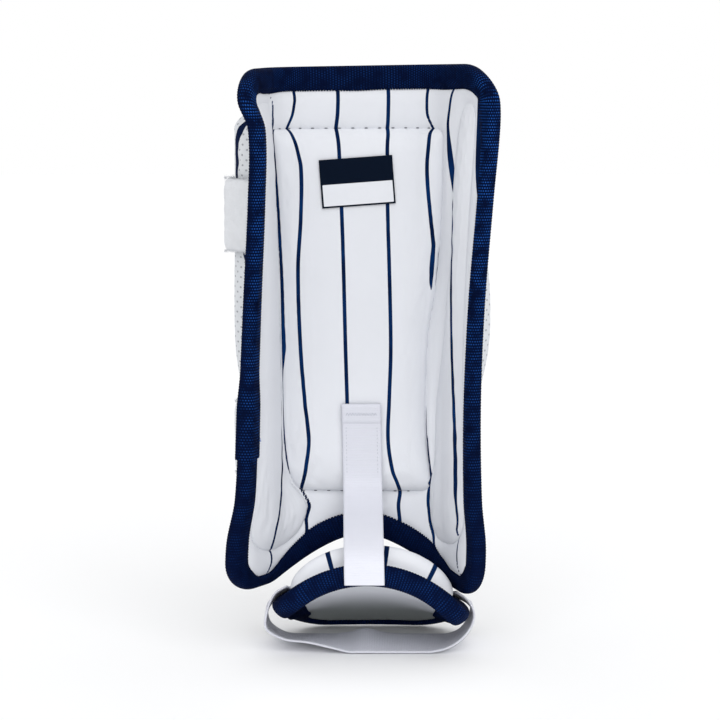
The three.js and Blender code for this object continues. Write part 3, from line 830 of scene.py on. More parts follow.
# the lined wall that the pads and the binding are sewn to
panel = {
    "puff": 2.4, "lump": 0.3, "seamReach": 11, "tapeReach": 9, "tapeIn": 11.5,
    "tuckDepth": 0.7, "tuckPitch": 8.7, "tuckReach": 3,
    # width of the tape that shows along the lower edge
    "lowS": [-112, -97, -87, -76, -60, -45, -30, 0, 45, 55, 72, 90, 100, 112],
    "lowIn": [11.5, 8, 3.2, 3.2, 6.5, 9.3, 11, 11.5, 11.8, 9, 7.5, 6.7, 9, 11.5],
    # and up the right edge
    "rightZ": [45, 70, 95, 130, 162, 200, 262, 300, 330, 345, 372],
    "rightIn": [10.3, 9.8, 9.2, 7.5, 5.8, 3.5, 3, 3.5, 5.8, 8.6, 11.5],
}
shinShape = {
    "columns": 150, "cornerSteps": 12, "middleSteps": 170,
    "bottomCorner": shin["bottomCorner"], "topCorner": shin["topCorner"],
    "bottom": bottomEdge, "top": topEdge,
    "left": level(-shin["halfSpan"]), "right": level(shin["halfSpan"]),
}


def shownTape(s, z):  # at the lower edge and at the right edge
    low = np.interp(s, panel["lowS"], panel["lowIn"])
    return low, np.interp(z, panel["rightZ"], panel["rightIn"])


def buildPanel():
    grid = roundedGrid(shinShape)
    s, z = grid["s"], grid["z"]
    seam = np.min([seamDistance(shape, s, z) for shape in padShapes], axis=0)
    low, right = shownTape(s, z)
    covered = {"left": panel["tapeIn"], "right": right, "low": low, "high": panel["tapeIn"]}
    fromTape = np.min([grid[side] - width for side, width in covered.items()], axis=0)
    body = roundOff(seam, panel["seamReach"]) * roundOff(np.maximum(fromTape, 0), panel["tapeReach"])
    tucks = gathers(s, seam, panel["tuckPitch"], panel["tuckReach"]) * panel["tuckDepth"]
    puff = (panel["puff"] + panel["lump"] * lumps(s, z) - tucks) * body
    face = shin["halfThick"] + np.maximum(puff, 0)
    piece = wallPiece("shinPanelCloth", grid, shinPlace, -shin["halfThick"], face, stripeEdge(s, z))
    dress(piece, cloth["lining"], "lining", "shin_panel")


buildPanel()
buildCenterPad()
buildSidePad("left", "sidePadLeftCloth", "side_pad_left")
buildSidePad("right", "sidePadRightCloth", "side_pad_right")
print("panel and leg pads sewn")

# the mesh pad on the front
frontPad = {
    "half": 92, "base": 4.1, "rim": 0.4, "bevel": 18, "topZ": 356, "bottomLift": 20, "lump": 0.4,
    "slack": 1.5, "bottomCorner": (30, 30, 26), "topCorner": (24, 24, 20),
    "tuckPitch": 9, "tuckReach": 4, "tuckShare": 0.5,
    "stripePitch": 28, "stripeFirst": 21, "stripeHalf": 2.3, "bendFull": 70,
    "stripeBend": {"z": [70, 140, 200, 232, 247, 262, 285, 310, 325, 338, 346, 356],
                   "in": [-14, -14, -15, -16, -13, -9, -4, 0, 0, -5, -11, -14]},
    "bulge": {"s": 81, "z": 226, "wide": 13, "tall": 52, "rise": 6.5},
    "rows": {"z": [66, 140, 163, 175, 195, 220, 356], "crown": [8, 8.6, 10.2, 13, 16, 16.5, 15.5]},
}


def frontBottom(s):
    return bottomEdge(s) + frontPad["bottomLift"]


def frontStripe(s, z):  # distance to the nearest stripe's edge; the inner pair runs straight
    pitch, first = frontPad["stripePitch"], frontPad["stripeFirst"]
    bend = easeIn(np.abs(s), first, frontPad["bendFull"]) * smoothRows(frontPad["stripeBend"], "in", z)
    across = np.abs(s) + bend - first
    return np.abs((across + pitch / 2) % pitch - pitch / 2) - frontPad["stripeHalf"]


def frontCrown(s, z):  # the foam stands out further at mid height on the right
    bulge = frontPad["bulge"]
    share = np.exp(-((s - bulge["s"]) / bulge["wide"]) ** 2 - ((z - bulge["z"]) / bulge["tall"]) ** 2)
    return smoothRows(frontPad["rows"], "crown", z) + bulge["rise"] * share


def buildFrontPad():
    grid = roundedGrid({
        "columns": 150, "crowd": 0.3, "cornerSteps": 12, "middleSteps": 150,
        "bottomCorner": frontPad["bottomCorner"], "topCorner": frontPad["topCorner"],
        "bottom": frontBottom, "top": level(frontPad["topZ"]),
        "left": level(-frontPad["half"]), "right": level(frontPad["half"]),
    })
    s, z, side, end = (grid[key] for key in ("s", "z", "side", "end"))
    slope = easeIn(side, 0, frontPad["bevel"]) * easeIn(end, 0, frontPad["bevel"])
    rise = frontCrown(s, z) - frontPad["rim"] + frontPad["lump"] * (lumps(s, z) - 1)
    pitch, reach = frontPad["tuckPitch"], frontPad["tuckReach"]
    tucks = np.maximum(gathers(s, end, pitch, reach), gathers(z, side, pitch, reach))
    face = -frontPad["base"] - frontPad["rim"] - rise * slope * (1 - frontPad["tuckShare"] * tucks)
    edge = frontStripe(s, z)
    piece = wallPiece("frontPadMesh", grid, shinPlace, -frontPad["base"], face, edge, frontPad["slack"])
    dress(piece, cloth["mesh"], "mesh", "front_pad")


buildFrontPad()

# loop-pile straps over the front
legStrap = {
    "left": -98, "right": 70, "upper": (260, 306), "lower": (117, 163), "columns": 150, "rows": 26,
    "thick": 2.2, "lift": 0.7, "camber": 10, "endRound": 2, "wear": 0.25,
    "fibres": 4200, "fibreLong": 1.3, "fibreThick": 0.07, "fibreRoot": 0.3, "fibreLean": 0.7,
    "fibreSway": 0.6, "rimShare": 0.45, "rimSpread": 0.4, "rimReach": 1, "rimLean": 0.8,
}


def strapUnder(s, lowZ, highZ):
    onPad = easeIn(s - legStrap["left"], 0, frontPad["bevel"])
    crown = np.maximum(frontCrown(s, lowZ), frontCrown(s, highZ))
    return -frontPad["base"] - legStrap["lift"] - crown * onPad


def strapFibres(name, lowZ, highZ, seed):  # short curved hairs that stand out of the pile
    draw = np.random.default_rng(seed)
    count = legStrap["fibres"]
    s = draw.uniform(legStrap["left"], legStrap["right"], count)
    z = draw.uniform(lowZ, highZ, count)
    onRim = draw.random(count) < legStrap["rimShare"]
    rimZ = np.where(draw.random(count) < 0.5, lowZ, highZ) + draw.normal(0, legStrap["rimSpread"], count)
    z = np.clip(np.where(onRim, rimZ, z), lowZ, highZ)
    root = strapUnder(s, lowZ, highZ) - legStrap["thick"] + legStrap["fibreRoot"]
    lean = draw.normal(0, legStrap["fibreLean"], (count, 2))
    nearLow, nearHigh = (away < legStrap["rimReach"] for away in (z - lowZ, highZ - z))
    lean[:, 1] += legStrap["rimLean"] * (nearHigh.astype(float) - nearLow)
    long = legStrap["fibreLong"] * draw.uniform(0.5, 1.0, count)
    rings = []
    for share, thick in ((0.0, 1.0), (0.5, 0.9), (1.0, 0.35)):
        sway = legStrap["fibreSway"] * (share + 0.5 * share * share)
        spread = legStrap["fibreThick"] * thick
        for turn in 2 * math.pi * np.arange(3) / 3:
            atS = s + lean[:, 0] * sway + spread * math.cos(turn)
            atZ = z + lean[:, 1] * sway + spread * math.sin(turn)
            rings.append(shinPlace(atS, atZ, root - share * long))
    points = np.stack(rings, axis=1)
    quads = [[3 * ring + k, 3 * ring + (k + 1) % 3, 3 * ring + 3 + (k + 1) % 3, 3 * ring + 3 + k]
             for ring in range(2) for k in range(3)]
    faces = np.arange(count)[:, None, None] * len(rings) + np.array(quads)[None]
    dress(makePiece(name, points, faces.reshape(-1, 4)), cloth["pile"], "loop_pile")


def buildLegStrap(name, node, lowZ, highZ, seed):
    grid = plainGrid(legStrap["columns"], legStrap["rows"], legStrap["left"], legStrap["right"], lowZ, highZ)
    s, z = grid["s"], grid["z"]
    under = strapUnder(s, lowZ, highZ)
    worn = legStrap["wear"] * np.sin(s / 3.1 + 2 * np.sin(z / 4)) * np.sin(z / 2.7 + s / 7)
    rounded = roundOff(grid["end"], legStrap["camber"]) * roundOff(grid["side"], legStrap["endRound"])
    face = under - legStrap["thick"] * (0.2 + 1.1 * rounded) - worn * rounded
    piece = wallPiece(name, grid, shinPlace, under, face)
    dress(piece, cloth["pile"], "loop_pile", node)
    middle = shinPlace(s, z, under)[legStrap["rows"] // 2]
    strapFibres(name + "Hairs", lowZ, highZ, seed)


buildLegStrap("upperStrapPile", "upper_strap", *legStrap["upper"], seed=7)
buildLegStrap("lowerStrapPile", "lower_strap", *legStrap["lower"], seed=11)
print("front pad and straps laid")

# the instep guard
instepStripes = {"at": [-51.4, -20.7, 10.2, 37.3, 66], "half": 1.3}
instepShape = {
    "columns": 110, "cornerSteps": 12, "middleSteps": 80,
    "bottomCorner": instep["corner"], "topCorner": instep["corner"],
    "bottom": level(instep["rearY"]), "top": level(instep["frontY"]),
    "left": instepRow("left"), "right": instepRow("right"),
}


def buildInstepPad():
    grid = roundedGrid(instepShape)
    a, y = grid["s"], grid["z"]
    side, end = grid["side"] - instep["raiseMargin"], grid["end"] - instep["raiseMargin"]
    sideBevel = mix(*instep["sideBevel"], easeIn(y, *instep["bevelY"]))
    slope = roundOff(side, sideBevel) * roundOff(end, instep["endBevel"])
    fromMargin = np.maximum(np.minimum(side, end), 0)
    tucks = instep["tuckShare"] * gathers(a, fromMargin, instep["tuckPitch"], instep["tuckReach"])
    rise = (instepRow("raise")(y) + instep["lump"] * lumps(a, y)) * slope * (1 - tucks)
    face = instep["halfThick"] + rise
    piece = wallPiece("instepPadCloth", grid, instepPlace, -instep["halfThick"], face, slack=instep["slack"])
    edge = np.min([np.abs(a - at) for at in instepStripes["at"]], axis=0) - instepStripes["half"]
    # the print stops at the hem
    pastHem = np.maximum(np.minimum(grid["side"], grid["low"]) - instep["hem"], 0)
    addMark(piece.data, "printEdge", np.concatenate([edge + pastHem, edge]) * mm)
    # painted shade on the underside only, darkening from 40 to 85 mm past the rear edge
    underShade = easeIn(grid["low"], *instep["underShade"])
    addMark(piece.data, "paintedUnderShade", np.concatenate([underShade, 0 * underShade]))
    dress(piece, cloth["lining"], "lining", "instep_pad")


buildInstepPad()

# woven binding, folded over an edge
tape = {
    "cut": 33, "leg": 11.5, "thick": 1.3, "clear": 1, "fold": 4.1, "foldStart": 0.8, "lip": 0.75,
    "step": 0.45, "pitch": 1.8, "rib": 0.13, "picot": 1, "picotReach": 0.8, "wobble": 0.25, "growIn": 5,
    "press": 0.3, "pressReach": 1.3, "stitchIn": 2.4, "edgeDrop": 0.8, "edgeReach": 3, "camber": 0.45,
    "cornerPinch": (0.3, 0.12), "toePinch": 0.75,
    # painted shade of the left fold and the top run, and painted glint by height and along the instep
    "foldPaintedShade": 0.8, "paintedShadeOff": (-0.5, 3.5), "topPaintedShade": 0.75, "instepGlint": 0.28,
    "glintLevel": {"z": [40, 80, 110, 150, 200, 250, 320], "lit": [0.12, 0.15, 0.3, 0.5, 0.7, 0.85, 1]},
}


def shownLeg(ring):  # width of the tape that shows where the lining swells over it
    low, right = shownTape(ring["s"], ring["z"])
    leg = mix(tape["leg"], low, easeIn(-ring["outZ"], 0.2, 0.7))
    leg = mix(leg, np.minimum(leg, right), easeIn(ring["outS"], 0.6, 0.95))
    pinch = np.where(ring["s"] < 0, *tape["cornerPinch"])
    turn = np.maximum(ring["outZ"], 0) * np.abs(ring["outS"]) * 2
    return leg * (1 - pinch * turn)


def tapeSection(halfGap):  # section from the leg-side edge round the fold and back inside
    outer = halfGap + tape["thick"]
    flat = np.linspace(-tape["leg"], tape["foldStart"], 11)
    fromEdge = flat + tape["leg"]
    face = outer - tape["press"] * np.exp(-((fromEdge - tape["stitchIn"]) / tape["pressReach"]) ** 2)
    face -= tape["edgeDrop"] * np.clip(1 - fromEdge / tape["edgeReach"], 0, 1) ** 2
    face += tape["camber"] * np.sin(math.pi * fromEdge / fromEdge[-1])
    turn = np.linspace(0, math.pi, 13)[1:-1]
    foldOut = tape["foldStart"] + (tape["fold"] - tape["foldStart"]) * np.sin(turn)
    lip = halfGap - tape["lip"]
    out = np.concatenate([flat, foldOut, flat[::-1], [-tape["leg"], gap, gap, -tape["leg"]]])
    off = np.concatenate([face, outer * np.cos(turn), -face[::-1], [-lip, -halfGap, halfGap, lip]])
    return out, off, runAlong(out, off)


def tapePiece(name, ring, place, halfGap, grow, glintLevel):
    out, off, across = tapeSection(halfGap)
    along = ring["along"]
    edge = np.exp(-(out + tape["leg"]) / tape["picotReach"])
    scallop = tape["picot"] * (np.abs(np.sin(math.pi * along / tape["pitch"])) - 0.5)
    wobble = tape["wobble"] * (np.sin(along / 11) + 0.6 * np.sin(along / 5.3 + 1))
    outAt = np.where(out < 0, out[None] * ring["legShare"][:, None], out[None])
    outAt = outAt - (scallop + wobble)[:, None] * edge[None]
    outAt = outAt + grow[:, None] * np.sign(out + tape["growIn"])[None]
    ribs = tape["rib"] * np.cos(2 * math.pi * along / tape["pitch"])
    offAt = off[None] * (1 + (grow + ribs)[:, None] / (halfGap + tape["thick"]))
    s = ring["s"][:, None] + outAt * ring["outS"][:, None]
    z = ring["z"][:, None] + outAt * ring["outZ"][:, None]
    count, sides = s.shape
    i, k = np.meshgrid(np.arange(count), np.arange(sides), indexing="ij")
    nextI, nextK = (i + 1) % count, (k + 1) % sides
    corners = [i * sides + k, nextI * sides + k, nextI * sides + nextK, i * sides + nextK]
    faces = np.stack(corners, axis=-1).reshape(-1, 4)
    step = ring["length"] / count
    u = np.stack([across[k], across[k], across[nextK], across[nextK]], axis=-1)
    v = np.stack([i * step, (i + 1) * step, (i + 1) * step, i * step], axis=-1)
    loopUv = np.stack([u, v], axis=-1).reshape(-1, 4, 2)
    piece = makePiece(name, place(s, z, offAt), faces, loopUv=loopUv)
    # painted shade: the fold on the left side is turned from the light, so its glints are dimmed
    turned = tape["foldPaintedShade"] * easeIn(-ring["outS"], 0.3, 0.9)
    # painted glint: half strength at the leg-side edge, full a quarter of the way in
    lit = 0.5 + 0.5 * easeIn(out, -tape["leg"], -0.75 * tape["leg"])
    lit = glintLevel[:, None] * lit[None] * (1 - turned[:, None] * easeIn(-off, *tape["paintedShadeOff"])[None])
    addMark(piece.data, "paintedGlint", lit)
    return piece


# the overlapped end of the tape, a little thicker, on the left side
tapeEnd = {"side": -100, "lowZ": 130, "fullZ": 160, "fadeZ": 188, "grow": 1.1}
shinTapeGap = shin["halfThick"] + tape["clear"]
instepTapeGap = instep["halfThick"] + tape["clear"]


def buildShinBinding():
    grid = roundedGrid({**shinShape, "columns": 400, "cornerSteps": 24, "middleSteps": 300})
    ring = ringOutline(grid, tape["step"])
    ring["legShare"] = shownLeg(ring) / tape["leg"]
    onEnd = (ring["s"] < tapeEnd["side"]) & (ring["z"] > tapeEnd["lowZ"])
    fade = 1 - easeIn(ring["z"], tapeEnd["fullZ"], tapeEnd["fadeZ"])
    grow = np.where(onEnd, tapeEnd["grow"] * fade, 0)
    # painted glint, stronger higher up the wall, dimmed along the top run as painted shade
    glintLevel = np.interp(ring["z"], tape["glintLevel"]["z"], tape["glintLevel"]["lit"])
    glintLevel = glintLevel * (1 - tape["topPaintedShade"] * easeIn(ring["outZ"], 0.6, 0.95))  # the top run stays dark
    piece = tapePiece("shinBindingTape", ring, shinPlace, shinTapeGap, grow, glintLevel)
    dress(piece, cloth["binding"], "binding", "shin_binding")
    return ring


def buildInstepBinding():
    grid = roundedGrid({**instepShape, "columns": 200, "cornerSteps": 24, "middleSteps": 150})
    ring = ringOutline(grid, tape["step"])
    ring["legShare"] = 1 - tape["toePinch"] * easeIn(ring["outZ"], 0.3, 0.8)
    grow = np.zeros(len(ring["s"]))
    # painted glint, held low all round the instep binding
    piece = tapePiece("instepBindingTape", ring, instepPlace, instepTapeGap, grow, grow + tape["instepGlint"])
    dress(piece, cloth["binding"], "binding", "instep_binding")
    return ring


shinRing = buildShinBinding()
instepRing = buildInstepBinding()
print("binding folded on:", len(shinRing["s"]) + len(instepRing["s"]), "sections")


# elastic bands between two edges
def ribbonPiece(name, near, far, thick, columns, bulge):
    run = np.gradient(near, axis=0)[:, None] * 0.5 + np.gradient(far, axis=0)[:, None] * 0.5
    across = (far - near)[:, None]
    normal = np.cross(np.broadcast_to(across, run.shape), run)
    normal /= np.linalg.norm(normal, axis=-1, keepdims=True)
    share = np.linspace(0, 1, columns + 1)[None, :, None]
    middle = near[:, None] + across * share
    width = np.linalg.norm(far - near, axis=-1).mean() / mm
    fromEdge = np.minimum(share, 1 - share) * width
    rounded = thick * 0.3 * (1 - roundOff(fromEdge, 1.0))
    high = middle + normal * (bulge[:, None, None] - rounded) * mm
    low = middle + normal * (rounded - thick) * mm
    length = runAlong(*((near + far) / 2).T) / mm
    u = np.broadcast_to(share[..., 0] * width, middle.shape[:2])
    v = np.broadcast_to(length[:, None], middle.shape[:2])
    uv = np.stack([u, v], axis=-1).reshape(-1, 2)
    points = np.concatenate([low.reshape(-1, 3), high.reshape(-1, 3)])
    piece = makePiece(name, points, wallFaces(*middle.shape[:2]), np.concatenate([uv, uv]))
    return piece, (width * mm, length[-1] * mm), high


ankleStrap = {
    "wide": 25.4, "thick": 2, "topX": 0.7, "bottomX": 2.8, "columns": 28, "padIn": 0.6,
    "topZ": 159, "leaveZ": 112, "meetZ": 61, "bottomZ": 51.5, "ease": 20,
    "foldZ": 147, "foldBulge": 0.9, "foldEase": 0.8, "foldRound": 2.5,
    "padSteps": 70, "freeSteps": 60, "tapeSteps": 14,
}
onCenterPad = shin["halfThick"] + gap + centerPad["crown"] + gap  # where the strap and the label lie


def ankleEdge(side):
    low, high, leaveZ, meetZ = (ankleStrap[key] for key in ("bottomZ", "topZ", "leaveZ", "meetZ"))

    def edgeX(z):
        middleX = mix(ankleStrap["bottomX"], ankleStrap["topX"], (z - low) / (high - low))
        return middleX + side * ankleStrap["wide"] / 2

    onPadZ = np.linspace(high, leaveZ, ankleStrap["padSteps"])
    face = shinPlace(edgeX(onPadZ) - ankleStrap["padIn"] * side, onPadZ, onCenterPad + ankleStrap["thick"])
    onPadY = face[:, 1] / mm - guardShift[1]
    rearY = instep["rearY"] - tape["fold"] - gap - ankleStrap["thick"]
    t = np.linspace(0, 1, ankleStrap["freeSteps"])[1:, None]
    ends = [(onPadY[-1], leaveZ), (onPadY[-1], leaveZ - ankleStrap["ease"]),
            (rearY, meetZ + ankleStrap["ease"]), (rearY, meetZ)]
    a, b, c, d = (np.array(end)[None] for end in ends)
    free = a * (1 - t) ** 3 + 3 * b * t * (1 - t) ** 2 + 3 * c * t**2 * (1 - t) + d * t**3
    downZ = np.linspace(meetZ, low, ankleStrap["tapeSteps"])[1:]
    y = np.concatenate([onPadY, free[:, 0], np.full(len(downZ), rearY)])
    z = np.concatenate([onPadZ, free[:, 1], downZ])
    return (np.stack([edgeX(z), y, z], axis=-1) + guardShift) * mm


def buildAnkleStrap():
    near, far = ankleEdge(1), ankleEdge(-1)
    z = near[:, 2] / mm
    foldZ, ease = ankleStrap["foldZ"], ankleStrap["foldEase"]
    bulge = ankleStrap["foldBulge"] * easeIn(z, foldZ - ease, foldZ + ease)
    bulge = bulge * roundOff(ankleStrap["topZ"] - z + 0.05, ankleStrap["foldRound"])
    thick, columns = ankleStrap["thick"], ankleStrap["columns"]
    piece, size, face = ribbonPiece("ankleStrapElastic", near, far, thick, columns, bulge)
    dress(piece, cloth["elastic"], "elastic", "ankle_strap")
    return face


ankleFace = buildAnkleStrap()

footStrap = {
    "thick": 1.6, "rearY": 0, "frontY": 51, "landing": [10.5, 2.5], "lift": 2.9, "steps": 20, "columns": 40,
    "x": [-61, -61, -50, -33, -18, -6, 4, 14, 28, 45, 57, 67, 73, 74],
    "rearZ": [26, 16, 9, 6.4, 2.8, 0, 0, 0, 0, 0, 3, 10, 19, 27],
    "frontZ": [23, 10, 1.5, 0, 0, 1.5, 4, 1.5, 0, 0, 0, 4, 13, 23],
}


def smoothPath(points, steps):  # centripetal curve through the points
    points = np.concatenate([[2 * points[0] - points[1]], points, [2 * points[-1] - points[-2]]])
    knots = np.concatenate([[0], np.cumsum(np.linalg.norm(np.diff(points, axis=0), axis=1) ** 0.5)])
    path = []
    for k in range(1, len(points) - 2):
        t0, t1, t2, t3 = knots[k - 1:k + 3]
        p0, p1, p2, p3 = points[k - 1:k + 3]
        t = np.linspace(t1, t2, steps + 1)[:-1, None]
        a1 = mix(p0, p1, (t - t0) / (t1 - t0))
        a2 = mix(p1, p2, (t - t1) / (t2 - t1))
        a3 = mix(p2, p3, (t - t2) / (t3 - t2))
        b1 = mix(a1, a2, (t - t0) / (t2 - t0))
        b2 = mix(a2, a3, (t - t1) / (t3 - t1))
        path.append(mix(b1, b2, (t - t1) / (t2 - t1)))
    return np.concatenate([*path, points[-2][None]])


def footEdge(y, column):
    inside = np.array(footStrap["landing"])
    onTape = instepTapeGap + tape["thick"] + footStrap["lift"] + footStrap["thick"]
    left = instepPlace(instepRow("left")(y) + inside, y, onTape) / mm - guardShift
    right = instepPlace(instepRow("right")(y) - inside[::-1], y, onTape) / mm - guardShift
    free = np.array([(x, y, z) for x, z in zip(footStrap["x"], footStrap[column])], float)
    path = smoothPath(np.concatenate([left, free, right]), footStrap["steps"])
    path[:, 2] = np.maximum(path[:, 2], 0)
    return (path + guardShift) * mm


def buildFootStrap():
    rear, front = footEdge(footStrap["rearY"], "rearZ"), footEdge(footStrap["frontY"], "frontZ")
    thick, columns, flat = footStrap["thick"], footStrap["columns"], np.zeros(len(rear))
    piece, size = ribbonPiece("footStrapElastic", rear, front, thick, columns, flat)[:2]
    dress(piece, cloth["elastic"], "elastic", "foot_strap")


buildFootStrap()
print("elastics fitted")

# the sewn label
label = {
    "wide": 47.5, "tall": 31, "thick": 0.6, "s": 0.4, "z": 302.4, "tilt": 3.8, "frame": 1.15, "split": -0.6,
    "columns": 96, "rows": 64, "edgeShare": 0.4, "edgeRound": 0.7,
}


def labelPlace(across, up, off):
    tilt = math.radians(label["tilt"])
    s = label["s"] + across * math.cos(tilt) - up * math.sin(tilt)
    z = label["z"] + across * math.sin(tilt) + up * math.cos(tilt)
    return shinPlace(s, z, off)


def buildLabel():
    halfWide, halfTall = label["wide"] / 2, label["tall"] / 2
    grid = plainGrid(label["columns"], label["rows"], -halfWide, halfWide, -halfTall, halfTall)
    x, y = grid["s"], grid["z"]
    inside = np.minimum(halfWide - label["frame"] - np.abs(x), y + halfTall - label["frame"])
    inside = np.minimum(inside, label["split"] - y)
    rounded = roundOff(np.minimum(grid["side"], grid["end"]), label["edgeRound"])
    top = onCenterPad + label["thick"] * mix(label["edgeShare"], 1, rounded)
    piece = wallPiece("nameLabelCloth", grid, labelPlace, onCenterPad, top, -inside)
    dress(piece, cloth["label"], "label", "name_label")


buildLabel()

# stitches: one bead of thread is modelled once and copied along each seam
bpy.ops.mesh.primitive_uv_sphere_add(segments=6, ring_count=4, radius=0.5)
bead = bpy.context.active_object
beadPoints = np.array([vertex.co[:] for vertex in bead.data.vertices])
beadFaces = [list(face.vertices) for face in bead.data.polygons]
bpy.data.objects.remove(bead)


def stitchPiece(name, starts, ends, ups, thick, material, slot):
    long = ends - starts
    across = np.cross(ups, long)
    across /= np.linalg.norm(across, axis=1, keepdims=True)
    up = np.cross(long / np.linalg.norm(long, axis=1, keepdims=True), across)
    x, y, z = (beadPoints[None, :, axis, None] for axis in range(3))
    points = ((starts + ends) / 2)[:, None] + z * long[:, None]
    points = points + (x * across[:, None] + y * up[:, None]) * thick * mm
    faces = []
    for copy in range(len(starts)):
        faces += [[copy * len(beadPoints) + corner for corner in face] for face in beadFaces]
    mesh = bpy.data.meshes.new(name)
    mesh.from_pydata(points.reshape(-1, 3), [], faces)
    mesh.polygons.foreach_set("use_smooth", np.ones(len(faces), bool))
    piece = bpy.data.objects.new(name, mesh)
    bpy.context.scene.collection.objects.link(piece)
    dress(piece, material, slot)


sewing = {
    "tapePitch": 3.4, "tapeShare": 0.7, "tapeThick": 0.5, "tapeLift": 0.1,
    "seamPitch": 8.7, "seamLong": 0.26, "seamThick": 0.75, "seamLift": 0.9, "seamOut": 0.3,
    "topSeam": (-54, 58), "bottomSeam": (-40, 38),
    "threadStep": 3, "threadOver": 0.15, "threadThick": 0.4, "threadLift": 0.12,
}


def tapeStitches(name, ring, place, outer):
    pick = slice(0, None, max(1, int(round(sewing["tapePitch"] / tape["step"]))))
    inner = (tape["leg"] - tape["stitchIn"]) * ring["legShare"][pick]
    s = ring["s"][pick] - inner * ring["outS"][pick]
    z = ring["z"][pick] - inner * ring["outZ"][pick]
    height = np.full(len(s), outer - tape["press"] + sewing["tapeLift"])
    parts = []
    for off in (height, -height):  # both legs of the tape
        starts = place(s[:-1], z[:-1], off[:-1])
        ends = place(*(mix(line[:-1], line[1:], sewing["tapeShare"]) for line in (s, z, off)))
        parts.append((starts, ends, place(s[:-1], z[:-1], off[:-1] * 1.1) - starts))
    starts, ends, ups = (np.concatenate(part) for part in zip(*parts))
    stitchPiece(name, starts, ends, ups, sewing["tapeThick"], cloth["navyThread"], "binding")


tapeStitches("shinTapeStitches", shinRing, shinPlace, shinTapeGap + tape["thick"])
tapeStitches("instepTapeStitches", instepRing, instepPlace, instepTapeGap + tape["thick"])


def seamThread(name, shape):  # thin grey thread line round a pad, its grey partly painted shade of the seam's crease
    ring = ringOutline(roundedGrid(shape), sewing["threadStep"])
    off = padBase + sewing["threadLift"]
    starts = shinPlace(ring["s"], ring["z"], off)
    ups = shinPlace(ring["s"], ring["z"], off + 1) - starts
    ends = starts + (np.roll(starts, -1, axis=0) - starts) * (1 + sewing["threadOver"])
    stitchPiece(name, starts, ends, ups, sewing["threadThick"], cloth["whiteThread"], "lining")


for threadName, shape in zip(("centerPadThread", "leftPadThread", "rightPadThread"), padShapes):
    seamThread(threadName, shape)


def seamStitches():  # dark grey thread in the tucks of the centre pad's end seams, its dark grey partly painted shade of the needle holes
    parts = []
    seams = {"topSeam": centerPad["topZ"] + sewing["seamOut"],
             "bottomSeam": centerPad["bottomZ"] - sewing["seamOut"]}
    for seam, z in seams.items():
        s = np.arange(*sewing[seam], sewing["seamPitch"])
        off = shin["halfThick"] + sewing["seamLift"]
        starts = shinPlace(s, z, off)
        ends = shinPlace(s + sewing["seamPitch"] * sewing["seamLong"], z, off)
        parts.append((starts, ends, shinPlace(s, z, off + 1) - starts))
    starts, ends, ups = (np.concatenate(part) for part in zip(*parts))
    stitchPiece("padSeamStitches", starts, ends, ups, sewing["seamThick"], cloth["threadAndHoleShade"], "lining")


seamStitches()

strapSewing = {
    "columns": (3, 25), "zigzagZ": (151.3, 153.5), "dotsZ": (114, 145), "dotPitch": 2.4, "dotRows": 2,
    "thick": 0.5,
}


def strapStitches():  # zigzag across the folded end of the ankle strap and a dotted row down each side
    def rowAt(height):
        return int(np.argmin(np.abs(ankleFace[:, 0, 2] / mm - height)))

    first, last = strapSewing["columns"]
    zigzag = [rowAt(height) for height in strapSewing["zigzagZ"]]
    starts, ends = [], []
    for k in range(last - first):
        starts.append(ankleFace[zigzag[k % 2], first + k])
        ends.append(ankleFace[zigzag[1 - k % 2], first + k + 1])
    for column in (first, last):
        for height in np.arange(*strapSewing["dotsZ"], strapSewing["dotPitch"]):
            starts.append(ankleFace[rowAt(height), column])
            ends.append(ankleFace[rowAt(height) - strapSewing["dotRows"], column])
    starts, ends = np.array(starts), np.array(ends)
    ups = np.tile([0.0, -1.0, 0.0], (len(starts), 1))
    thick = strapSewing["thick"]
    stitchPiece("ankleStrapStitches", starts, ends, ups, thick, cloth["whiteThread"], "elastic")


strapStitches()

tufts = {
    "s": [-101.3, -101.6, -113.5], "z": [141, 142.5, 197], "off": [5.2, 5.2, 3],
    "threads": 4, "long": 1.7, "thick": 0.45, "lean": [0.9, -0.6, 0], "up": [0, -0.6, 0.8], "seed": 5,
}


def threadTufts():  # loose ends of binding thread
    draw = np.random.default_rng(tufts["seed"])
    roots = shinPlace(*(np.array(tufts[key], float) for key in ("s", "z", "off")))
    starts = np.repeat(roots, tufts["threads"], axis=0)
    lean = draw.normal(0, 1, starts.shape) + tufts["lean"]
    ends = starts + tufts["long"] * mm * lean / np.linalg.norm(lean, axis=1, keepdims=True)
    ups = np.tile(np.array(tufts["up"], float), (len(starts), 1))
    stitchPiece("bindingTufts", starts, ends, ups, tufts["thick"], cloth["blueThread"], "binding")


threadTufts()
print("stitches done")

# floor, light and camera
studio = {
    "floor": 9, "floorY": 1.5, "floorDrop": 0.0005,
    "fill": 0.83, "paper": (1, 1, 1, 1), "sun": 1.2, "spread": 60, "height": 42, "side": 8,
    "card": {"place": (0.005, -0.24, 0.04), "wide": 0.16, "tall": 0.05, "watts": 0.018, "spread": 70},
}


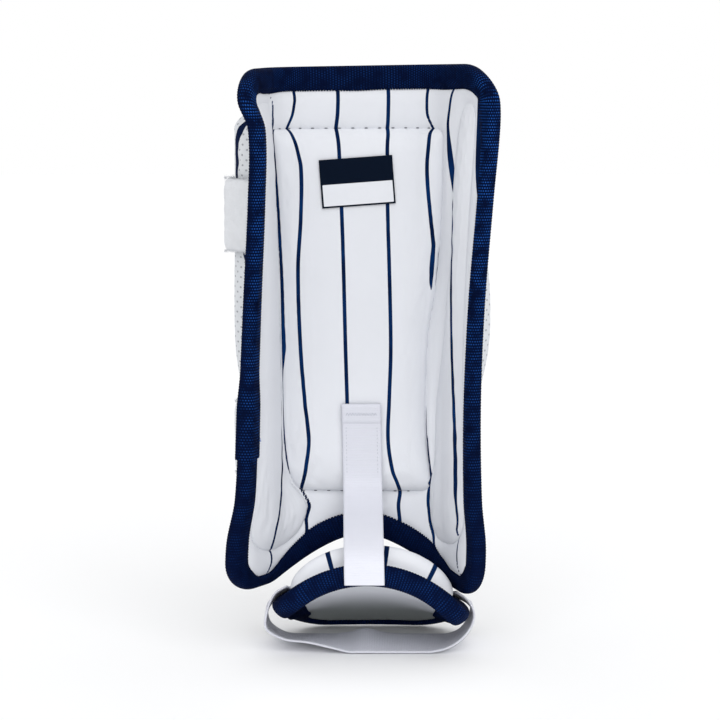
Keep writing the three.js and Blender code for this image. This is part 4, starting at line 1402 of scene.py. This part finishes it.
def buildStage():
    bpy.ops.object.select_all(action="DESELECT")
    place = (0, studio["floorY"], -studio["floorDrop"])
    bpy.ops.mesh.primitive_plane_add(size=studio["floor"], location=place)
    floor = bpy.context.active_object
    floor.name = "studioFloor"
    bpy.ops.object.transform_apply(location=True, rotation=False, scale=False)
    material, tree, shader = newMaterial("studioPaper", roughness=0.9, specular=0.1)
    addColor(tree, shader, scaleColor(tree, white["floor"], slowTone(tree, 0.5, 0.01)))
    floor.data.materials.append(material)


def addLight(name, kind):
    lamp = bpy.data.lights.new(name, kind)
    light = bpy.data.objects.new(name, lamp)
    bpy.context.scene.collection.objects.link(light)
    return lamp, light


def buildCard():  # low card that throws light under the instep
    card = studio["card"]
    lamp, light = addLight("lowCard", "AREA")
    lamp.shape = "RECTANGLE"
    lamp.size, lamp.size_y = card["wide"], card["tall"]
    lamp.energy = card["watts"]
    lamp.spread = math.radians(card["spread"])
    light.location = card["place"]
    light.rotation_euler = (math.radians(90), 0, 0)
    light.visible_camera = False


def buildLight():  # one wide soft light from the leg side, a little to the right, in a white room
    lamp, light = addLight("softSun", "SUN")
    lamp.energy = studio["sun"]
    lamp.angle = math.radians(studio["spread"])
    light.rotation_euler = (math.radians(90 - studio["height"]), 0, math.radians(studio["side"]))
    world = bpy.data.worlds.new("whiteRoom")
    world.use_nodes = True
    tree = world.node_tree
    background = tree.nodes["Background"]
    background.inputs["Color"].default_value = studio["paper"]
    seen = tree.nodes.new("ShaderNodeLightPath").outputs["Is Camera Ray"]
    feed(tree, background.inputs["Strength"], ramp(tree, seen, 0.0, 1.0, studio["fill"], 1.0))
    bpy.context.scene.world = world
    bpy.context.scene.view_settings.view_transform = "Standard"


buildStage()
buildCard()
buildLight()

camera = {"place": (0, -1600, 390), "pitch": 7.1, "lens": 126.95, "sensor": 36}
lens = bpy.data.cameras.new("photoCamera")
lens.lens = camera["lens"]
lens.sensor_width = camera["sensor"]
lens.sensor_fit = "HORIZONTAL"
photoCamera = bpy.data.objects.new("photoCamera", lens)
bpy.context.scene.collection.objects.link(photoCamera)
photoCamera.location = (np.array(camera["place"]) + guardShift) * mm
photoCamera.rotation_euler = (math.radians(90 - camera["pitch"]), 0, 0)
bpy.context.scene.camera = photoCamera
print("stage set")
